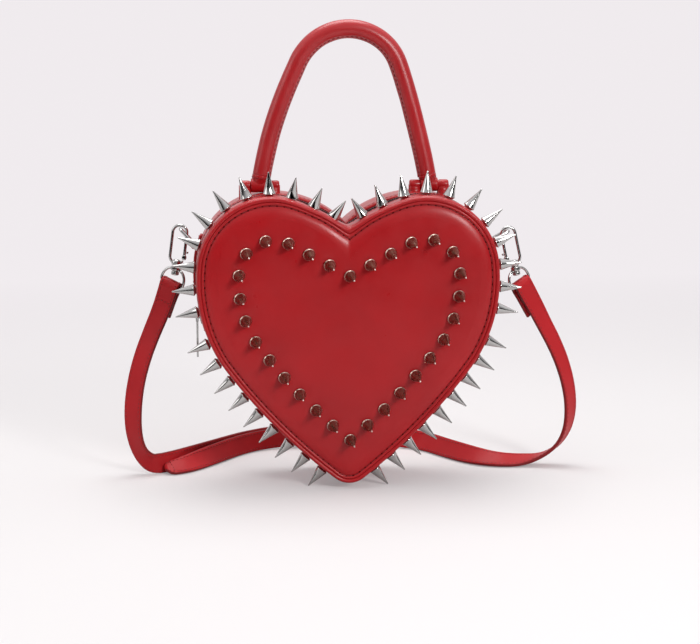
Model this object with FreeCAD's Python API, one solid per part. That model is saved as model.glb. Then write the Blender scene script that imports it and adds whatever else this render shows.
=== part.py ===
import FreeCAD, Part
import math
import os

Vector = FreeCAD.Vector

# Heart outline, seen from the front: heights are above the point where its two lower sides would meet
heart_height = 204.4
lobe_offset = 52.4
lobe_radius = 52.0
cleft_depth = 20.9
side_radius = 109.0
shoulder_radius = 90.0
tip_radius = 16.0
lobe_end_angle = 5.7
side_end_angle = -25.8
shoulder_end_angle = -36.4

# Depth of the bag, and the layers of its front and back
bag_depth = 72.0
piping_size = 4.0
piping_bevel = 1.2
piping_set_back = 0.2
seam_gap = 0.3
panel_thickness = 3.0
panel_edge_height = 1.6
panel_crown_height = 0.3
panel_crown_width = 1.7
panel_soft_width = 4.7
board_thickness = 1.6
board_inset = 6.0
lining_thickness = 0.6
lining_inset = 6.5

# Gusset: leather bands, their linings and the zip between them
gusset_inset = -0.5
gusset_thickness = 2.0
zip_depth = 28.0
zip_slit = 7.0
zip_end_height = 113.0
coil_height = 2.1
coil_width = 2.35
coil_play = 0.15
coil_drop = 0.1
tape_thickness = 0.5
tape_width = 10.0
tape_margin = 1.3
stop_length = 2.3
stop_width = 6.0
stop_height = 1.8

# Cone spikes and the screws behind them
spike_length = 17.0
spike_radius = 4.0
spike_foot_radius = 2.9
spike_foot_height = 2.0
spike_tip_radius = 0.25
spike_sides = 12
screw_radius = 3.2
screw_sides = 6
screw_height = 1.0
screw_seat = 0.12
front_row_inset = 28.5
front_row_cleft = 150.8
front_row_steps = 15
band_row_depth = 13.0
upper_row_start = 13.4
upper_row_pitch = 15.4
upper_row_count = 11
lower_row_start = 10.3
lower_row_pitch = 15.06
lower_row_count = 9

# Zip slider and its pull tag
slider_height = 121.0
slider_length = 11.0
slider_width = 9.0
slider_lift = 0.3
slider_plate = 1.1
slider_sole = 1.2
slider_sole_gap = 0.7
slider_post_width = 2.2
slider_post_length = 3.0
bridge_length = 4.4
bridge_height = 2.9
bridge_width = 1.6
pull_pin_radius = 0.92
pull_pin_play = 0.08
pull_pin_lift = 1.35
pull_length = 29.0
pull_width = 3.8
pull_thickness = 1.4
pull_cheek = 1.0
pull_fork_depth = 4.0
pull_fork_play = 0.15

# Rolled handle, the loops at its ends and the cross bars that they turn on
handle_depth = 43.0
handle_radius = 6.2
handle_core_radius = 4.4
handle_core_play = 0.05
handle_sides = 12
core_sides = 8
handle_top = 318.8
handle_top_radius = 38.3
handle_top_angle = 22.6
handle_leg_radius = 390.0
bar_radius = 3.0
bar_length = 28.0
bar_height = 210.0
bar_foot_length = 6.0
bar_play = 0.05
loop_wall = 1.9
loop_width = 12.0
loop_neck_start = 1.0
loop_rise = 6.2
seat_play = 0.05

# Side tabs and the rings in them
tab_depth = 52.0
tab_angle = 16.0
tab_spread = 9.0
tab_foot_height = 139.0
tab_width = 10.4
tab_thickness = 2.0
tab_loop_wall = 1.8
ring_wire = 1.2
ring_play = 0.08
ring_half_width = 7.0
ring_tip_half_width = 5.0
ring_length = 15.0
ring_rises = {"right": 31.0, "left": 48.0}
wire_sides = 8

# Snap clasps: lengths run up the clasp from the middle of its swivel head
clasp_leans = {"right": 12.5, "left": 7.6}
hook_width = 12.6
hook_gap = 7.4
hook_thickness = 3.4
hook_foot = 5.6
hook_floor = 10.0
hook_top = 35.6
nose_end = 24.0
ear_top = 13.4
ear_slot = 2.0
gate_pin_across = 5.0
gate_pin_along = 11.7
gate_pin_radius = 0.8
gate_pin_play = 0.05
gate_pin_seat = 0.02
gate_thickness = 1.8
gate_width = 2.2
gate_eye_radius = 1.5
gate_play = 0.2
thumb_start = 14.0
thumb_length = 3.0
thumb_reach = 1.6
swivel_post_radius = 1.9
swivel_play = 0.05
swivel_head_radius = 2.8
swivel_head_height = 2.8
swivel_gap = 0.3
boss_radius = 3.4
boss_height = 3.4
eye_wire = 1.3
eye_tilt = 14.0
eye_turn = 28.0
eye_half_width = 9.2
eye_drop = 9.0
eye_neck_shares = [(0.30, 0.36), (0.70, 0.17), (0.98, -0.28)]

# Strap: two flat pieces, and the slide that grips them behind the bag
strap_width = 15.0
strap_thickness = 2.4
strap_layer_gap = 0.3
strap_bore_play = 0.3
strap_fold_length = 30.0
strap_fold_close = 9.0
strap_wrap_steps = 6
strap_span_steps = 2
slide_wire = 1.1
slide_play = 0.4
slide_length = 9.0

# Free run of each strap piece: points of its middle line, and the way its width points there
left_route = [
    ((-131.3, 26.8, 118.9), (0.78, -0.54, -0.30)),
    ((-137.4, 28.2, 104.8), (0.75, -0.60, -0.28)),
    ((-144.6, 28.6, 86.5), (0.76, -0.60, -0.22)),
    ((-149.8, 28.6, 67.0), (0.79, -0.60, -0.10)),
    ((-152.2, 28.5, 48.0), (0.81, -0.58, 0.02)),
    ((-151.4, 28.4, 31.0), (0.82, -0.54, 0.12)),
    ((-146.6, 28.2, 17.4), (0.72, -0.46, 0.50)),
    ((-139.6, 27.9, 9.4), (0.36, -0.28, 0.88)),
    ((-134.0, 28.8, 7.8), (0.08, -0.08, 0.99)),
    ((-123.0, 38.5, 7.8), (0.0, 0.0, 1.0)),
    ((-107.5, 56.0, 7.7), (0.0, 0.0, 1.0)),
    ((-90.0, 76.0, 7.7), (0.0, 0.0, 1.0)),
    ((-72.0, 96.0, 7.7), (0.0, 0.0, 1.0)),
    ((-50.0, 110.5, 8.2), (0.0, 0.0, 1.0)),
    ((-30.0, 109.5, 9.4), (0.0, 0.0, 1.0)),
    ((-14.0, 106.1, 10.4), (0.0, 0.0, 1.0)),
    ((0.0, 105.9, 10.6), (0.0, 0.0, 1.0)),
    ((16.0, 106.3, 10.6), (0.0, 0.0, 1.0)),
]
right_route = [
    ((139.2, 26.8, 116.8), (0.76, 0.56, 0.34)),
    ((145.0, 28.0, 106.2), (0.72, 0.62, 0.30)),
    ((152.6, 28.4, 96.5), (0.70, 0.64, 0.30)),
    ((161.3, 28.6, 79.0), (0.70, 0.68, 0.20)),
    ((166.8, 28.6, 60.5), (0.68, 0.72, 0.08)),
    ((168.8, 28.6, 43.0), (0.64, 0.76, -0.02)),
    ((166.6, 28.8, 27.0), (0.52, 0.84, -0.08)),
    ((159.0, 29.2, 14.5), (0.36, 0.92, -0.14)),
    ((147.5, 30.5, 7.0), (0.20, 0.96, -0.08)),
    ((133.0, 33.5, 4.5), (0.05, 0.95, 0.28)),
    ((118.0, 37.0, 6.0), (0.0, 0.78, 0.62)),
    ((104.5, 42.5, 7.8), (0.0, 0.42, 0.90)),
    ((92.5, 51.5, 7.7), (0.0, 0.0, 1.0)),
    ((81.0, 66.0, 7.7), (0.0, 0.0, 1.0)),
    ((67.5, 83.0, 7.8), (0.0, 0.0, 1.0)),
    ((50.0, 95.0, 8.2), (0.0, 0.0, 1.0)),
    ((30.0, 101.0, 9.4), (0.0, 0.0, 1.0)),
    ((12.0, 102.5, 10.6), (0.0, 0.0, 1.0)),
    ((-4.0, 102.6, 10.6), (0.0, 0.0, 1.0)),
    ((-20.0, 102.5, 10.3), (0.0, 0.0, 1.0)),
    ((-40.0, 101.5, 8.8), (0.0, 0.0, 1.0)),
    ((-57.0, 95.5, 7.9), (0.0, 0.0, 1.0)),
    ((-71.5, 82.0, 7.7), (0.0, 0.0, 1.0)),
    ((-86.0, 62.0, 7.7), (0.0, 0.0, 1.0)),
    ((-100.5, 44.0, 8.0), (-0.18, 0.14, 0.97)),
    ((-113.0, 33.0, 7.8), (-0.34, 0.27, 0.90)),
    ((-123.5, 26.4, 7.7), (-0.34, 0.27, 0.90)),
    ((-130.5, 23.2, 7.8), (-0.28, 0.22, 0.93)),
]

overrun = 20.0

front_face = (spike_length - bag_depth) / 2
right, left = 1, -1


def bearing(angle):
    """Unit step at an angle from level, in the plane of the heart."""
    return math.cos(math.radians(angle)), math.sin(math.radians(angle))


def step_from(point, angle, length):
    across, up = bearing(angle)
    return point[0] + across * length, point[1] + up * length


# Arc centres of the outline, each arc tangent to the next
cleft_radius = (lobe_offset ** 2 + cleft_depth ** 2) / (2 * cleft_depth)
cleft_centre = (lobe_offset, heart_height - cleft_radius)
lobe_centre = (lobe_offset, heart_height - lobe_radius)
side_centre = step_from(lobe_centre, lobe_end_angle, lobe_radius - side_radius)
shoulder_centre = step_from(side_centre, side_end_angle, side_radius - shoulder_radius)
shoulder_end = step_from(shoulder_centre, shoulder_end_angle, shoulder_radius)
shoulder_way = bearing(shoulder_end_angle)
lower_radius = (shoulder_end[0] ** 2 + shoulder_end[1] ** 2) / (
    2 * (shoulder_end[0] * shoulder_way[0] + shoulder_end[1] * shoulder_way[1]))
lower_centre = step_from(shoulder_end, shoulder_end_angle, -lower_radius)
tip_drop = math.sqrt((lower_radius - tip_radius) ** 2 - lower_centre[0] ** 2)
tip_centre = (0, lower_centre[1] - tip_drop)
tip_angle = -math.degrees(math.atan2(tip_drop, -lower_centre[0]))


def flank(inset):
    """Arcs from the top of the right lobe down to the tip: centre, radius, first and last angle."""
    return [
        (lobe_centre, lobe_radius - inset, 90, lobe_end_angle),
        (side_centre, side_radius - inset, lobe_end_angle, side_end_angle),
        (shoulder_centre, shoulder_radius - inset, side_end_angle, shoulder_end_angle),
        (lower_centre, lower_radius - inset, shoulder_end_angle, tip_angle),
    ]


def half_outline(inset):
    """Arcs of the right half, from the cleft to the middle of the tip."""
    cleft_start = math.degrees(math.acos(-lobe_offset / (cleft_radius - inset)))
    cleft = (cleft_centre, cleft_radius - inset, cleft_start, 90)
    return [cleft] + flank(inset) + [(tip_centre, tip_radius - inset, tip_angle, -90)]


def upper_half(inset, end_angle):
    """Arcs from the cleft to an angle on the side, where the zip ends."""
    cleft, lobe, side = half_outline(inset)[:3]
    return [cleft, lobe, (side[0], side[1], lobe_end_angle, end_angle)]


def lower_half(inset, end_angle):
    """Arcs from the tip up to an angle on the side."""
    side, shoulder, lower, tip = half_outline(inset)[2:]
    rising = [tip, lower, shoulder, (side[0], side[1], end_angle, side_end_angle)]
    return [(centre, radius, last, first) for centre, radius, first, last in rising]


def station(arcs, distance):
    """Point at a distance along the arcs, and the outward angle there."""
    for centre, radius, first, last in arcs:
        length = radius * math.radians(abs(first - last))
        if distance <= length:
            angle = first + (last - first) * distance / length
            return step_from(centre, angle, radius), angle
        distance -= length
    return step_from(centre, last, radius), last


def side_angle(height):
    return math.degrees(math.asin((height - side_centre[1]) / side_radius))


zip_end_angle = side_angle(zip_end_height)
slider_angle = side_angle(slider_height)
degrees_per_length = math.degrees(1 / side_radius)
end_play = seam_gap * degrees_per_length

# Rows of spikes: right half first, then mirrored
upper_row = []
for index in range(upper_row_count):
    distance = upper_row_start + index * upper_row_pitch
    upper_row.append(station(upper_half(gusset_inset, zip_end_angle), distance))
lower_row = []
lower_run = [(c, r, last, first) for c, r, first, last in reversed(lower_half(gusset_inset, zip_end_angle))]
for index in range(lower_row_count):
    lower_row.append(station(lower_run, lower_row_start + index * lower_row_pitch))

# The bag stands on its lowest pair of spikes
spike_ends = [(step_from(point, angle, spike_length)[1], bearing(angle)[0]) for point, angle in lower_row]
stand = -min(height - spike_tip_radius * across for height, across in spike_ends)


def place(point, depth, side=right):
    """Point of the outline's plane, at a depth behind the front face, in the part's own frame."""
    return Vector(side * point[0], front_face + depth, point[1] + stand)


def arc_edge(arc, depth, side):
    centre, radius, first, last = arc
    middle = (first + last) / 2
    ends = [place(step_from(centre, angle, radius), depth, side) for angle in (first, middle, last)]
    return Part.Arc(*ends).toShape()


def closed_face(edges):
    return Part.Face(Part.Wire(Part.__sortEdges__(edges)))


def heart_edges(inset, depth):
    arcs = half_outline(inset)
    return [arc_edge(arc, depth, right) for arc in arcs] + [arc_edge(arc, depth, left) for arc in arcs]


def heart_plate(inset, depth, thickness):
    return closed_face(heart_edges(inset, depth)).extrude(Vector(0, thickness, 0))


def heart_loft(levels):
    """Solid through heart outlines, given as insets and depths."""
    wires = [Part.Wire(Part.__sortEdges__(heart_edges(inset, depth))) for inset, depth in levels]
    return Part.makeLoft(wires, True, True)


def band(half, outer, inner, right_end, left_end, depth, width):
    """Strip that follows part of the outline, between two insets."""
    edges = []
    for side, end in ((right, right_end), (left, left_end)):
        outer_arcs, inner_arcs = half(outer, end), half(inner, end)
        edges += [arc_edge(arc, depth, side) for arc in outer_arcs + inner_arcs]
        last_arcs = (outer_arcs[-1], inner_arcs[-1])
        tips = [place(step_from(centre, end, radius), depth, side) for centre, radius, *_ in last_arcs]
        edges.append(Part.LineSegment(*tips).toShape())
    return closed_face(edges).extrude(Vector(0, width, 0))


def side_sector(outer, inner, first, last, depth, width):
    """Piece of a ring about the centre of the right side's arc."""
    arcs = [(side_centre, side_radius - inset, first, last) for inset in (outer, inner)]
    edges = [arc_edge(arc, depth, right) for arc in arcs]
    for angle in (first, last):
        tips = [place(step_from(centre, angle, radius), depth) for centre, radius, *_ in arcs]
        edges.append(Part.LineSegment(*tips).toShape())
    return closed_face(edges).extrude(Vector(0, width, 0))


def box(low, high):
    size = high - low
    return Part.makeBox(size.x, size.y, size.z, low)


def rod(radius, start, end):
    return Part.makeCylinder(radius, (end - start).Length, start, end - start)


def mirrored(shape):
    return shape.mirror(Vector(0, 0, 0), Vector(1, 0, 0))


def skin(sections, closed=False):
    """Solid with flat facets through sections of equal point count; a closed one joins last to first."""
    count = len(sections[0])
    points = [point for section in sections for point in section]
    total = len(sections)
    facets = []
    for row in range(total if closed else total - 1):
        here, there = row * count, (row + 1) % total * count
        for index in range(count):
            after = (index + 1) % count
            facets.append((here + index, here + after, there + after))
            facets.append((here + index, there + after, there + index))
    if not closed:
        last = (total - 1) * count
        for index in range(1, count - 1):
            facets.append((0, index + 1, index))
            facets.append((last, last + index, last + index + 1))
    shape = Part.Shape()
    shape.makeShapeFromMesh((points, facets), seat_play * seat_play)
    solid = Part.Solid(shape.removeSplitter())
    if solid.Volume < 0:
        solid.reverse()
    return solid


def wire_form(points, radius, normal, closed=False):
    """Bent wire in a plane with the given normal, mitred at its points."""
    sections = []
    total = len(points)
    for index, point in enumerate(points):
        ways = []
        if closed or index > 0:
            ways.append((point - points[index - 1]).normalize())
        if closed or index < total - 1:
            ways.append((points[(index + 1) % total] - point).normalize())
        along = (ways[0] + ways[-1]).normalize()
        across = along.cross(normal).normalize()
        spread = radius / along.dot(ways[0])
        ring = []
        for corner in range(wire_sides):
            turn = 2 * math.pi * corner / wire_sides
            ring.append(point + across * (spread * math.cos(turn)) + normal * (radius * math.sin(turn)))
        sections.append(ring)
    return skin(sections, closed)


def turned_form(base, way, profile, sides):
    """Upright form with flat sides, through rings given as radii and heights."""
    across = way.cross(Vector(0, 0, 1) if way.y else Vector(0, 1, 0)).normalize()
    other = way.cross(across)
    rings = []
    for radius, height in profile:
        ring = []
        for corner in range(sides):
            turn = 2 * math.pi * corner / sides
            ring.append(base + way * height + (across * math.cos(turn) + other * math.sin(turn)) * radius)
        rings.append(ring)
    return skin(rings)


def spike(base, way):
    profile = [(spike_foot_radius, 0), (spike_radius, spike_foot_height), (spike_tip_radius, spike_length)]
    return turned_form(base, way, profile, spike_sides)


def screw(base, way):
    """Low hexagon head, seated behind a spike."""
    return turned_form(base, way, [(screw_radius, 0), (screw_radius, screw_height)], screw_sides)


def front_row():
    """Places of the spikes on the front panel: a straight run off the cleft, then the inset outline."""
    radius = lobe_radius - front_row_inset
    start = (0, front_row_cleft)
    reach = math.hypot(lobe_centre[0], lobe_centre[1] - front_row_cleft)
    slope = math.atan2(lobe_centre[1] - front_row_cleft, lobe_centre[0])
    rise = math.degrees(slope + math.asin(radius / reach))
    straight = math.sqrt(reach ** 2 - radius ** 2)
    arcs = flank(front_row_inset)
    arcs[0] = (lobe_centre, radius, rise + 90, lobe_end_angle)
    meeting = -math.degrees(math.acos(-lower_centre[0] / arcs[-1][1]))
    arcs[-1] = arcs[-1][:3] + (meeting,)
    total = straight + sum(r * math.radians(abs(first - last)) for _, r, first, last in arcs)
    places = []
    for index in range(front_row_steps + 1):
        distance = total * index / front_row_steps
        if distance <= straight:
            places.append(step_from(start, rise, distance))
        else:
            places.append(station(arcs, distance - straight)[0])
    return places


def spike_set(row):
    """Spikes and screws of a row on the gusset, both sides."""
    spikes, screws = [], []
    for point, angle in row:
        across, up = bearing(angle)
        inner = step_from(point, angle, -gusset_thickness - screw_seat)
        for side in (right, left):
            way = Vector(side * across, 0, up)
            spikes.append(spike(place(point, band_row_depth, side), way))
            screws.append(screw(place(inner, band_row_depth, side), way * -1))
    return Part.makeCompound(spikes), Part.makeCompound(screws)


nodes = {}

# Front and back: panel, board, lining and piping, built inwards from each face
for name, face, inward, screw_room in (("front", 0, 1, screw_height), ("back", bag_depth, -1, 0)):
    edge = piping_size + seam_gap
    nodes[name + "_panel"] = heart_loft([
        (edge, face + inward * panel_thickness),
        (edge, face + inward * (panel_thickness - panel_edge_height)),
        (edge + panel_crown_width, face + inward * panel_crown_height),
        (edge + panel_soft_width, face),
    ])
    board_back = panel_thickness + board_thickness
    lining_front = board_back + screw_room + seam_gap
    board_depth, lining_depth = face + inward * panel_thickness, face + inward * lining_front
    nodes[name + "_stiffener"] = heart_plate(board_inset, board_depth, inward * board_thickness)
    nodes[name + "_lining"] = heart_plate(lining_inset, lining_depth, inward * lining_thickness)
    piping_back = piping_set_back + piping_size
    rolled = heart_loft([
        (piping_bevel, face + inward * piping_set_back),
        (0, face + inward * (piping_set_back + piping_bevel)),
        (0, face + inward * (piping_back - piping_bevel)),
        (piping_bevel, face + inward * piping_back),
    ])
    piping_room = heart_plate(piping_size, face - inward * overrun, inward * 2 * overrun)
    nodes[name + "_piping"] = rolled.cut(piping_room)

# Gusset bands: upper ones each side of the zip, and the lower one round the tip
band_start = piping_set_back + piping_size + seam_gap
band_inner = gusset_inset + gusset_thickness
slit_front, slit_rear = zip_depth - zip_slit / 2, zip_depth + zip_slit / 2
upper_end, lower_end = zip_end_angle + end_play, zip_end_angle - end_play
nodes["front_band"] = band(upper_half, gusset_inset, band_inner, upper_end, upper_end,
                           band_start, slit_front - band_start)
nodes["rear_band"] = band(upper_half, gusset_inset, band_inner, upper_end, upper_end,
                          slit_rear, bag_depth - band_start - slit_rear)
nodes["lower_gusset"] = band(lower_half, gusset_inset, band_inner, lower_end, lower_end,
                             band_start, bag_depth - 2 * band_start)

# Linings of the bands: the ones with screws behind the leather lie further in
deep = band_inner + screw_seat + screw_height + seam_gap
shallow = band_inner + seam_gap
lining_start = panel_thickness + board_thickness + screw_height + 2 * seam_gap + lining_thickness
sole_edge = slider_width / 2 + seam_gap
tape_edge = tape_margin + tape_width + seam_gap
nodes["front_band_lining"] = band(upper_half, deep, deep + lining_thickness, upper_end, upper_end,
                                  lining_start, zip_depth - sole_edge - lining_start)
nodes["rear_band_lining"] = band(upper_half, shallow, shallow + lining_thickness, upper_end, upper_end,
                                 zip_depth + tape_edge, bag_depth - lining_start - zip_depth - tape_edge)
nodes["lower_gusset_lining"] = band(lower_half, deep, deep + lining_thickness, lower_end, lower_end,
                                    lining_start, bag_depth - 2 * lining_start)

# Zip: tapes under the bands, coils in the slit, metal stops at both ends
coil_top = gusset_inset + coil_drop
tape_top = band_inner + seam_gap
stop_angle = stop_length * degrees_per_length
post_top = slider_angle + (slider_post_length - slider_length / 2) * degrees_per_length
right_coil_end = upper_end + stop_angle + end_play
left_coil_end = post_top + end_play
for name, way in (("front", -1), ("rear", 1)):
    nodes[name + "_zip_tape"] = band(upper_half, tape_top, tape_top + tape_thickness, upper_end, upper_end,
                                     zip_depth + way * tape_margin, way * tape_width)
    nodes[name + "_zip_coil"] = band(upper_half, coil_top, coil_top + coil_height, right_coil_end,
                                     left_coil_end, zip_depth + way * coil_play, way * coil_width)
end_stop = side_sector(coil_top, coil_top + stop_height, upper_end, upper_end + stop_angle,
                       zip_depth - stop_width / 2, stop_width)
nodes["zip_stops"] = Part.makeCompound([end_stop, mirrored(end_stop)])

# Slider on the left: plate outside, sole inside, post between them and a bridge for the pull
half_turn = slider_length / 2 * degrees_per_length
plate_low = gusset_inset - slider_lift
plate_top = plate_low - slider_plate
bridge_turn = bridge_length / 2 * degrees_per_length
plate = side_sector(plate_top, plate_low, slider_angle - half_turn, slider_angle + half_turn,
                    zip_depth - slider_width / 2, slider_width)
sole_top = tape_top + tape_thickness + slider_sole_gap
sole = side_sector(sole_top, sole_top + slider_sole, slider_angle - half_turn,
                   slider_angle + half_turn, zip_depth - slider_width / 2, slider_width)
post = side_sector(plate_low, sole_top, slider_angle - half_turn, post_top,
                   zip_depth - slider_post_width / 2, slider_post_width)
bridge = side_sector(plate_top - bridge_height, plate_top, slider_angle - bridge_turn,
                     slider_angle + bridge_turn, zip_depth - bridge_width / 2, bridge_width)
pull_pivot = place(step_from(side_centre, slider_angle, side_radius - plate_top + pull_pin_lift), zip_depth)
across_pull = Vector(0, pull_width / 2, 0)
pin_hole = rod(pull_pin_radius + pull_pin_play, pull_pivot - across_pull, pull_pivot + across_pull)
nodes["zip_slider"] = mirrored(plate.fuse([sole, post, bridge]).cut(pin_hole))

# Pull tag: a fork on a pin through the bridge, and a flat bar hanging below
fork_inner = bridge_width / 2 + pull_fork_play
fork = box(pull_pivot + Vector(-pull_cheek, -pull_width / 2, -pull_fork_depth),
           pull_pivot + Vector(pull_cheek, pull_width / 2, pull_cheek))
fork_room = box(pull_pivot + Vector(-overrun, -fork_inner, -pull_fork_depth),
                pull_pivot + Vector(overrun, fork_inner, overrun))
tag = box(pull_pivot + Vector(-pull_thickness / 2, -pull_width / 2, -pull_length),
          pull_pivot + Vector(pull_thickness / 2, pull_width / 2, -pull_fork_depth))
pull_pin = rod(pull_pin_radius, pull_pivot - across_pull, pull_pivot + across_pull)
nodes["zip_pull"] = mirrored(fork.cut(fork_room).fuse([tag, pull_pin]))

# Spikes
panel_spikes, panel_screws = [], []
board_face = panel_thickness + board_thickness
for index, point in enumerate(front_row()):
    sides = (right,) if index in (0, front_row_steps) else (right, left)
    for side in sides:
        panel_spikes.append(spike(place(point, 0, side), Vector(0, -1, 0)))
        panel_screws.append(screw(place(point, board_face, side), Vector(0, 1, 0)))
nodes["front_spikes"] = Part.makeCompound(panel_spikes)
nodes["front_spike_screws"] = Part.makeCompound(panel_screws)
nodes["upper_spikes"], nodes["upper_spike_screws"] = spike_set(upper_row)
nodes["lower_spikes"], nodes["lower_spike_screws"] = spike_set(lower_row)

# Handle: one tight arc over the top and two long ones down the legs
top_centre = (0, handle_top - handle_top_radius)
leg_centre = step_from(top_centre, handle_top_angle, handle_top_radius - handle_leg_radius)
leg_end_angle = math.degrees(math.asin((bar_height + loop_rise - leg_centre[1]) / handle_leg_radius))
leg_end = step_from(leg_centre, leg_end_angle, handle_leg_radius)


def handle_bend(centre, bend_radius, radius, sides, first, last):
    """Piece of a ring of near round section, from one angle down to another."""
    start = place(step_from(centre, first, bend_radius), handle_depth)
    outward = Vector(bearing(first)[0], 0, bearing(first)[1])
    corners = []
    for corner in range(sides):
        turn = 2 * math.pi * (corner + 0.5) / sides
        corners.append(start + outward * (radius * math.cos(turn)) + Vector(0, radius * math.sin(turn), 0))
    section = Part.Face(Part.makePolygon(corners + corners[:1]))
    return section.revolve(place(centre, handle_depth), Vector(0, 1, 0), first - last)


def handle_rod(radius, sides):
    leg = handle_bend(leg_centre, handle_leg_radius, radius, sides, handle_top_angle, leg_end_angle)
    far_angle = 180 - handle_top_angle
    crown = handle_bend(top_centre, handle_top_radius, radius, sides, far_angle, handle_top_angle)
    return crown.fuse([leg, mirrored(leg)])


handle_room = handle_rod(handle_core_radius + handle_core_play, core_sides)
nodes["handle_cover"] = handle_rod(handle_radius, handle_sides).cut(handle_room)
nodes["handle_core"] = handle_rod(handle_core_radius, core_sides)

# Handle loops and the cross bars on the lobes
leg_way = Vector(bearing(leg_end_angle + 90)[0], 0, bearing(leg_end_angle + 90)[1])
loop_drop = (leg_end[1] - bar_height) / leg_way.z
bar_middle = place(leg_end, handle_depth) - leg_way * loop_drop
loop_radius = bar_radius + bar_play + loop_wall
half_loop = Vector(loop_width / 2, 0, 0)
half_bar = Vector(bar_length / 2, 0, 0)
neck = Part.makeCone(loop_radius, handle_radius, loop_drop - loop_neck_start,
                     bar_middle + leg_way * loop_neck_start, leg_way)
loop = rod(loop_radius, bar_middle - half_loop, bar_middle + half_loop).fuse(neck)
bar_room = rod(bar_radius + bar_play, bar_middle - half_bar, bar_middle + half_bar)
nodes["right_handle_loop"] = loop.cut(bar_room)
bar = rod(bar_radius, bar_middle - half_bar, bar_middle + half_bar)
feet = []
for end in (bar_middle - half_bar, bar_middle + half_bar - Vector(bar_foot_length, 0, 0)):
    feet.append(box(end + Vector(0, -bar_radius, -overrun), end + Vector(bar_foot_length, bar_radius, 0)))
bar_bed = heart_plate(gusset_inset - seat_play, 0, bag_depth)
nodes["right_handle_bar"] = bar.fuse(feet).cut(bar_bed)

# Side tab: a strip on the lobe with a loop for the ring's straight side
tab_bed = lobe_radius - gusset_inset + seat_play
tab_loop_radius = ring_wire + ring_play + tab_loop_wall
tab_half = Vector(0, tab_width / 2, 0)
tab_axis = place(step_from(lobe_centre, tab_angle, tab_bed + tab_loop_radius), tab_depth)
tab_foot_angle = side_angle(tab_foot_height)
strip_top, strip_depth = tab_angle + tab_spread, tab_depth - tab_width / 2
strip_edges, strip_tops, strip_feet = [], [], []
for lift in (seat_play, seat_play + tab_thickness):
    lobe_run = (lobe_centre, lobe_radius - gusset_inset + lift, strip_top, lobe_end_angle)
    side_run = (side_centre, side_radius - gusset_inset + lift, lobe_end_angle, tab_foot_angle)
    strip_edges += [arc_edge(run, strip_depth, right) for run in (lobe_run, side_run)]
    strip_tops.append(place(step_from(lobe_centre, strip_top, lobe_run[1]), strip_depth))
    strip_feet.append(place(step_from(side_centre, tab_foot_angle, side_run[1]), strip_depth))
strip_edges += [Part.LineSegment(*tips).toShape() for tips in (strip_tops, strip_feet)]
strip = closed_face(strip_edges).extrude(Vector(0, tab_width, 0))
tab_loop = rod(tab_loop_radius, tab_axis - tab_half, tab_axis + tab_half)
ring_room = rod(ring_wire + ring_play, tab_axis - tab_half, tab_axis + tab_half)
nodes["right_ring_tab"] = strip.fuse(tab_loop).cut(ring_room)

# Ring's tip and swivel head of each clasp, worked out on the right: the ring rises to the top of the hook
hook_wall = (hook_width - hook_gap) / 2
clasps = {}
for name in ("right", "left"):
    ring_way, hook_way = bearing(ring_rises[name]), bearing(90 + clasp_leans[name])
    clasp_up = Vector(hook_way[0], 0, hook_way[1])
    ring_tip = tab_axis + Vector(ring_way[0], 0, ring_way[1]) * ring_length
    clasps[name] = ring_tip, ring_tip - clasp_up * (hook_top - hook_wall - ring_wire - ring_play)


def on_side(shape, name):
    return mirrored(shape) if name == "left" else shape


def on_clasp(shape, name):
    """Puts a shape drawn upright about its own origin onto a clasp."""
    turned = shape.copy()
    turned.rotate(Vector(0, 0, 0), Vector(0, 1, 0), -clasp_leans[name])
    turned.translate(clasps[name][1])
    return on_side(turned, name)


def upright_slot(half_width, foot, top, foot_round):
    """Flat face with a round top, and a round or square foot."""
    crown = top - half_width
    low = foot + half_width if foot_round else foot
    corners = [Vector(half_width, 0, low), Vector(half_width, 0, crown), Vector(0, 0, top),
               Vector(-half_width, 0, crown), Vector(-half_width, 0, low)]
    edges = [Part.LineSegment(corners[0], corners[1]).toShape(),
             Part.Arc(corners[1], corners[2], corners[3]).toShape(),
             Part.LineSegment(corners[3], corners[4]).toShape()]
    if foot_round:
        edges.append(Part.Arc(corners[4], Vector(0, 0, foot), corners[0]).toShape())
    else:
        edges.append(Part.LineSegment(corners[4], corners[0]).toShape())
    return closed_face(edges)


# Hook with its swivel post and head, ears for the gate, and the gate on its pin
half_hook = Vector(0, hook_thickness / 2, 0)
hook = upright_slot(hook_width / 2, hook_foot, hook_top, True).extrude(half_hook * 2)
hook = hook.cut(upright_slot(hook_gap / 2, hook_floor, hook_top - hook_wall, False).extrude(half_hook * 2))
hook.translate(half_hook * -1)
hook = hook.cut(box(Vector(-overrun, -overrun, ear_top), Vector(-hook_gap / 2, overrun, nose_end)))
hook = hook.cut(box(Vector(-overrun, -ear_slot / 2, hook_floor),
                    Vector(-hook_gap / 2, ear_slot / 2, nose_end)))
gate_pivot = Vector(-gate_pin_across, 0, gate_pin_along)
hook = hook.cut(rod(gate_pin_radius + gate_pin_seat, gate_pivot - half_hook, gate_pivot + half_hook))
head_low = Vector(0, 0, -swivel_head_height / 2)
head_top = Vector(0, 0, swivel_head_height / 2)
post_end = Vector(0, 0, hook_foot + hook_wall / 2)
swivel_head = rod(swivel_head_radius, head_low, head_top)
hook = hook.fuse([swivel_head, rod(swivel_post_radius, head_top, post_end)])
gate_pin = rod(gate_pin_radius, gate_pivot - half_hook, gate_pivot + half_hook)
half_gate = Vector(0, gate_thickness / 2, 0)
gate_eye = rod(gate_eye_radius, gate_pivot - half_gate, gate_pivot + half_gate)
gate_arm = box(gate_pivot + Vector(-gate_width / 2, -gate_thickness / 2, 0),
               Vector(-gate_pin_across + gate_width / 2, gate_thickness / 2, nose_end - gate_play))
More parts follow.
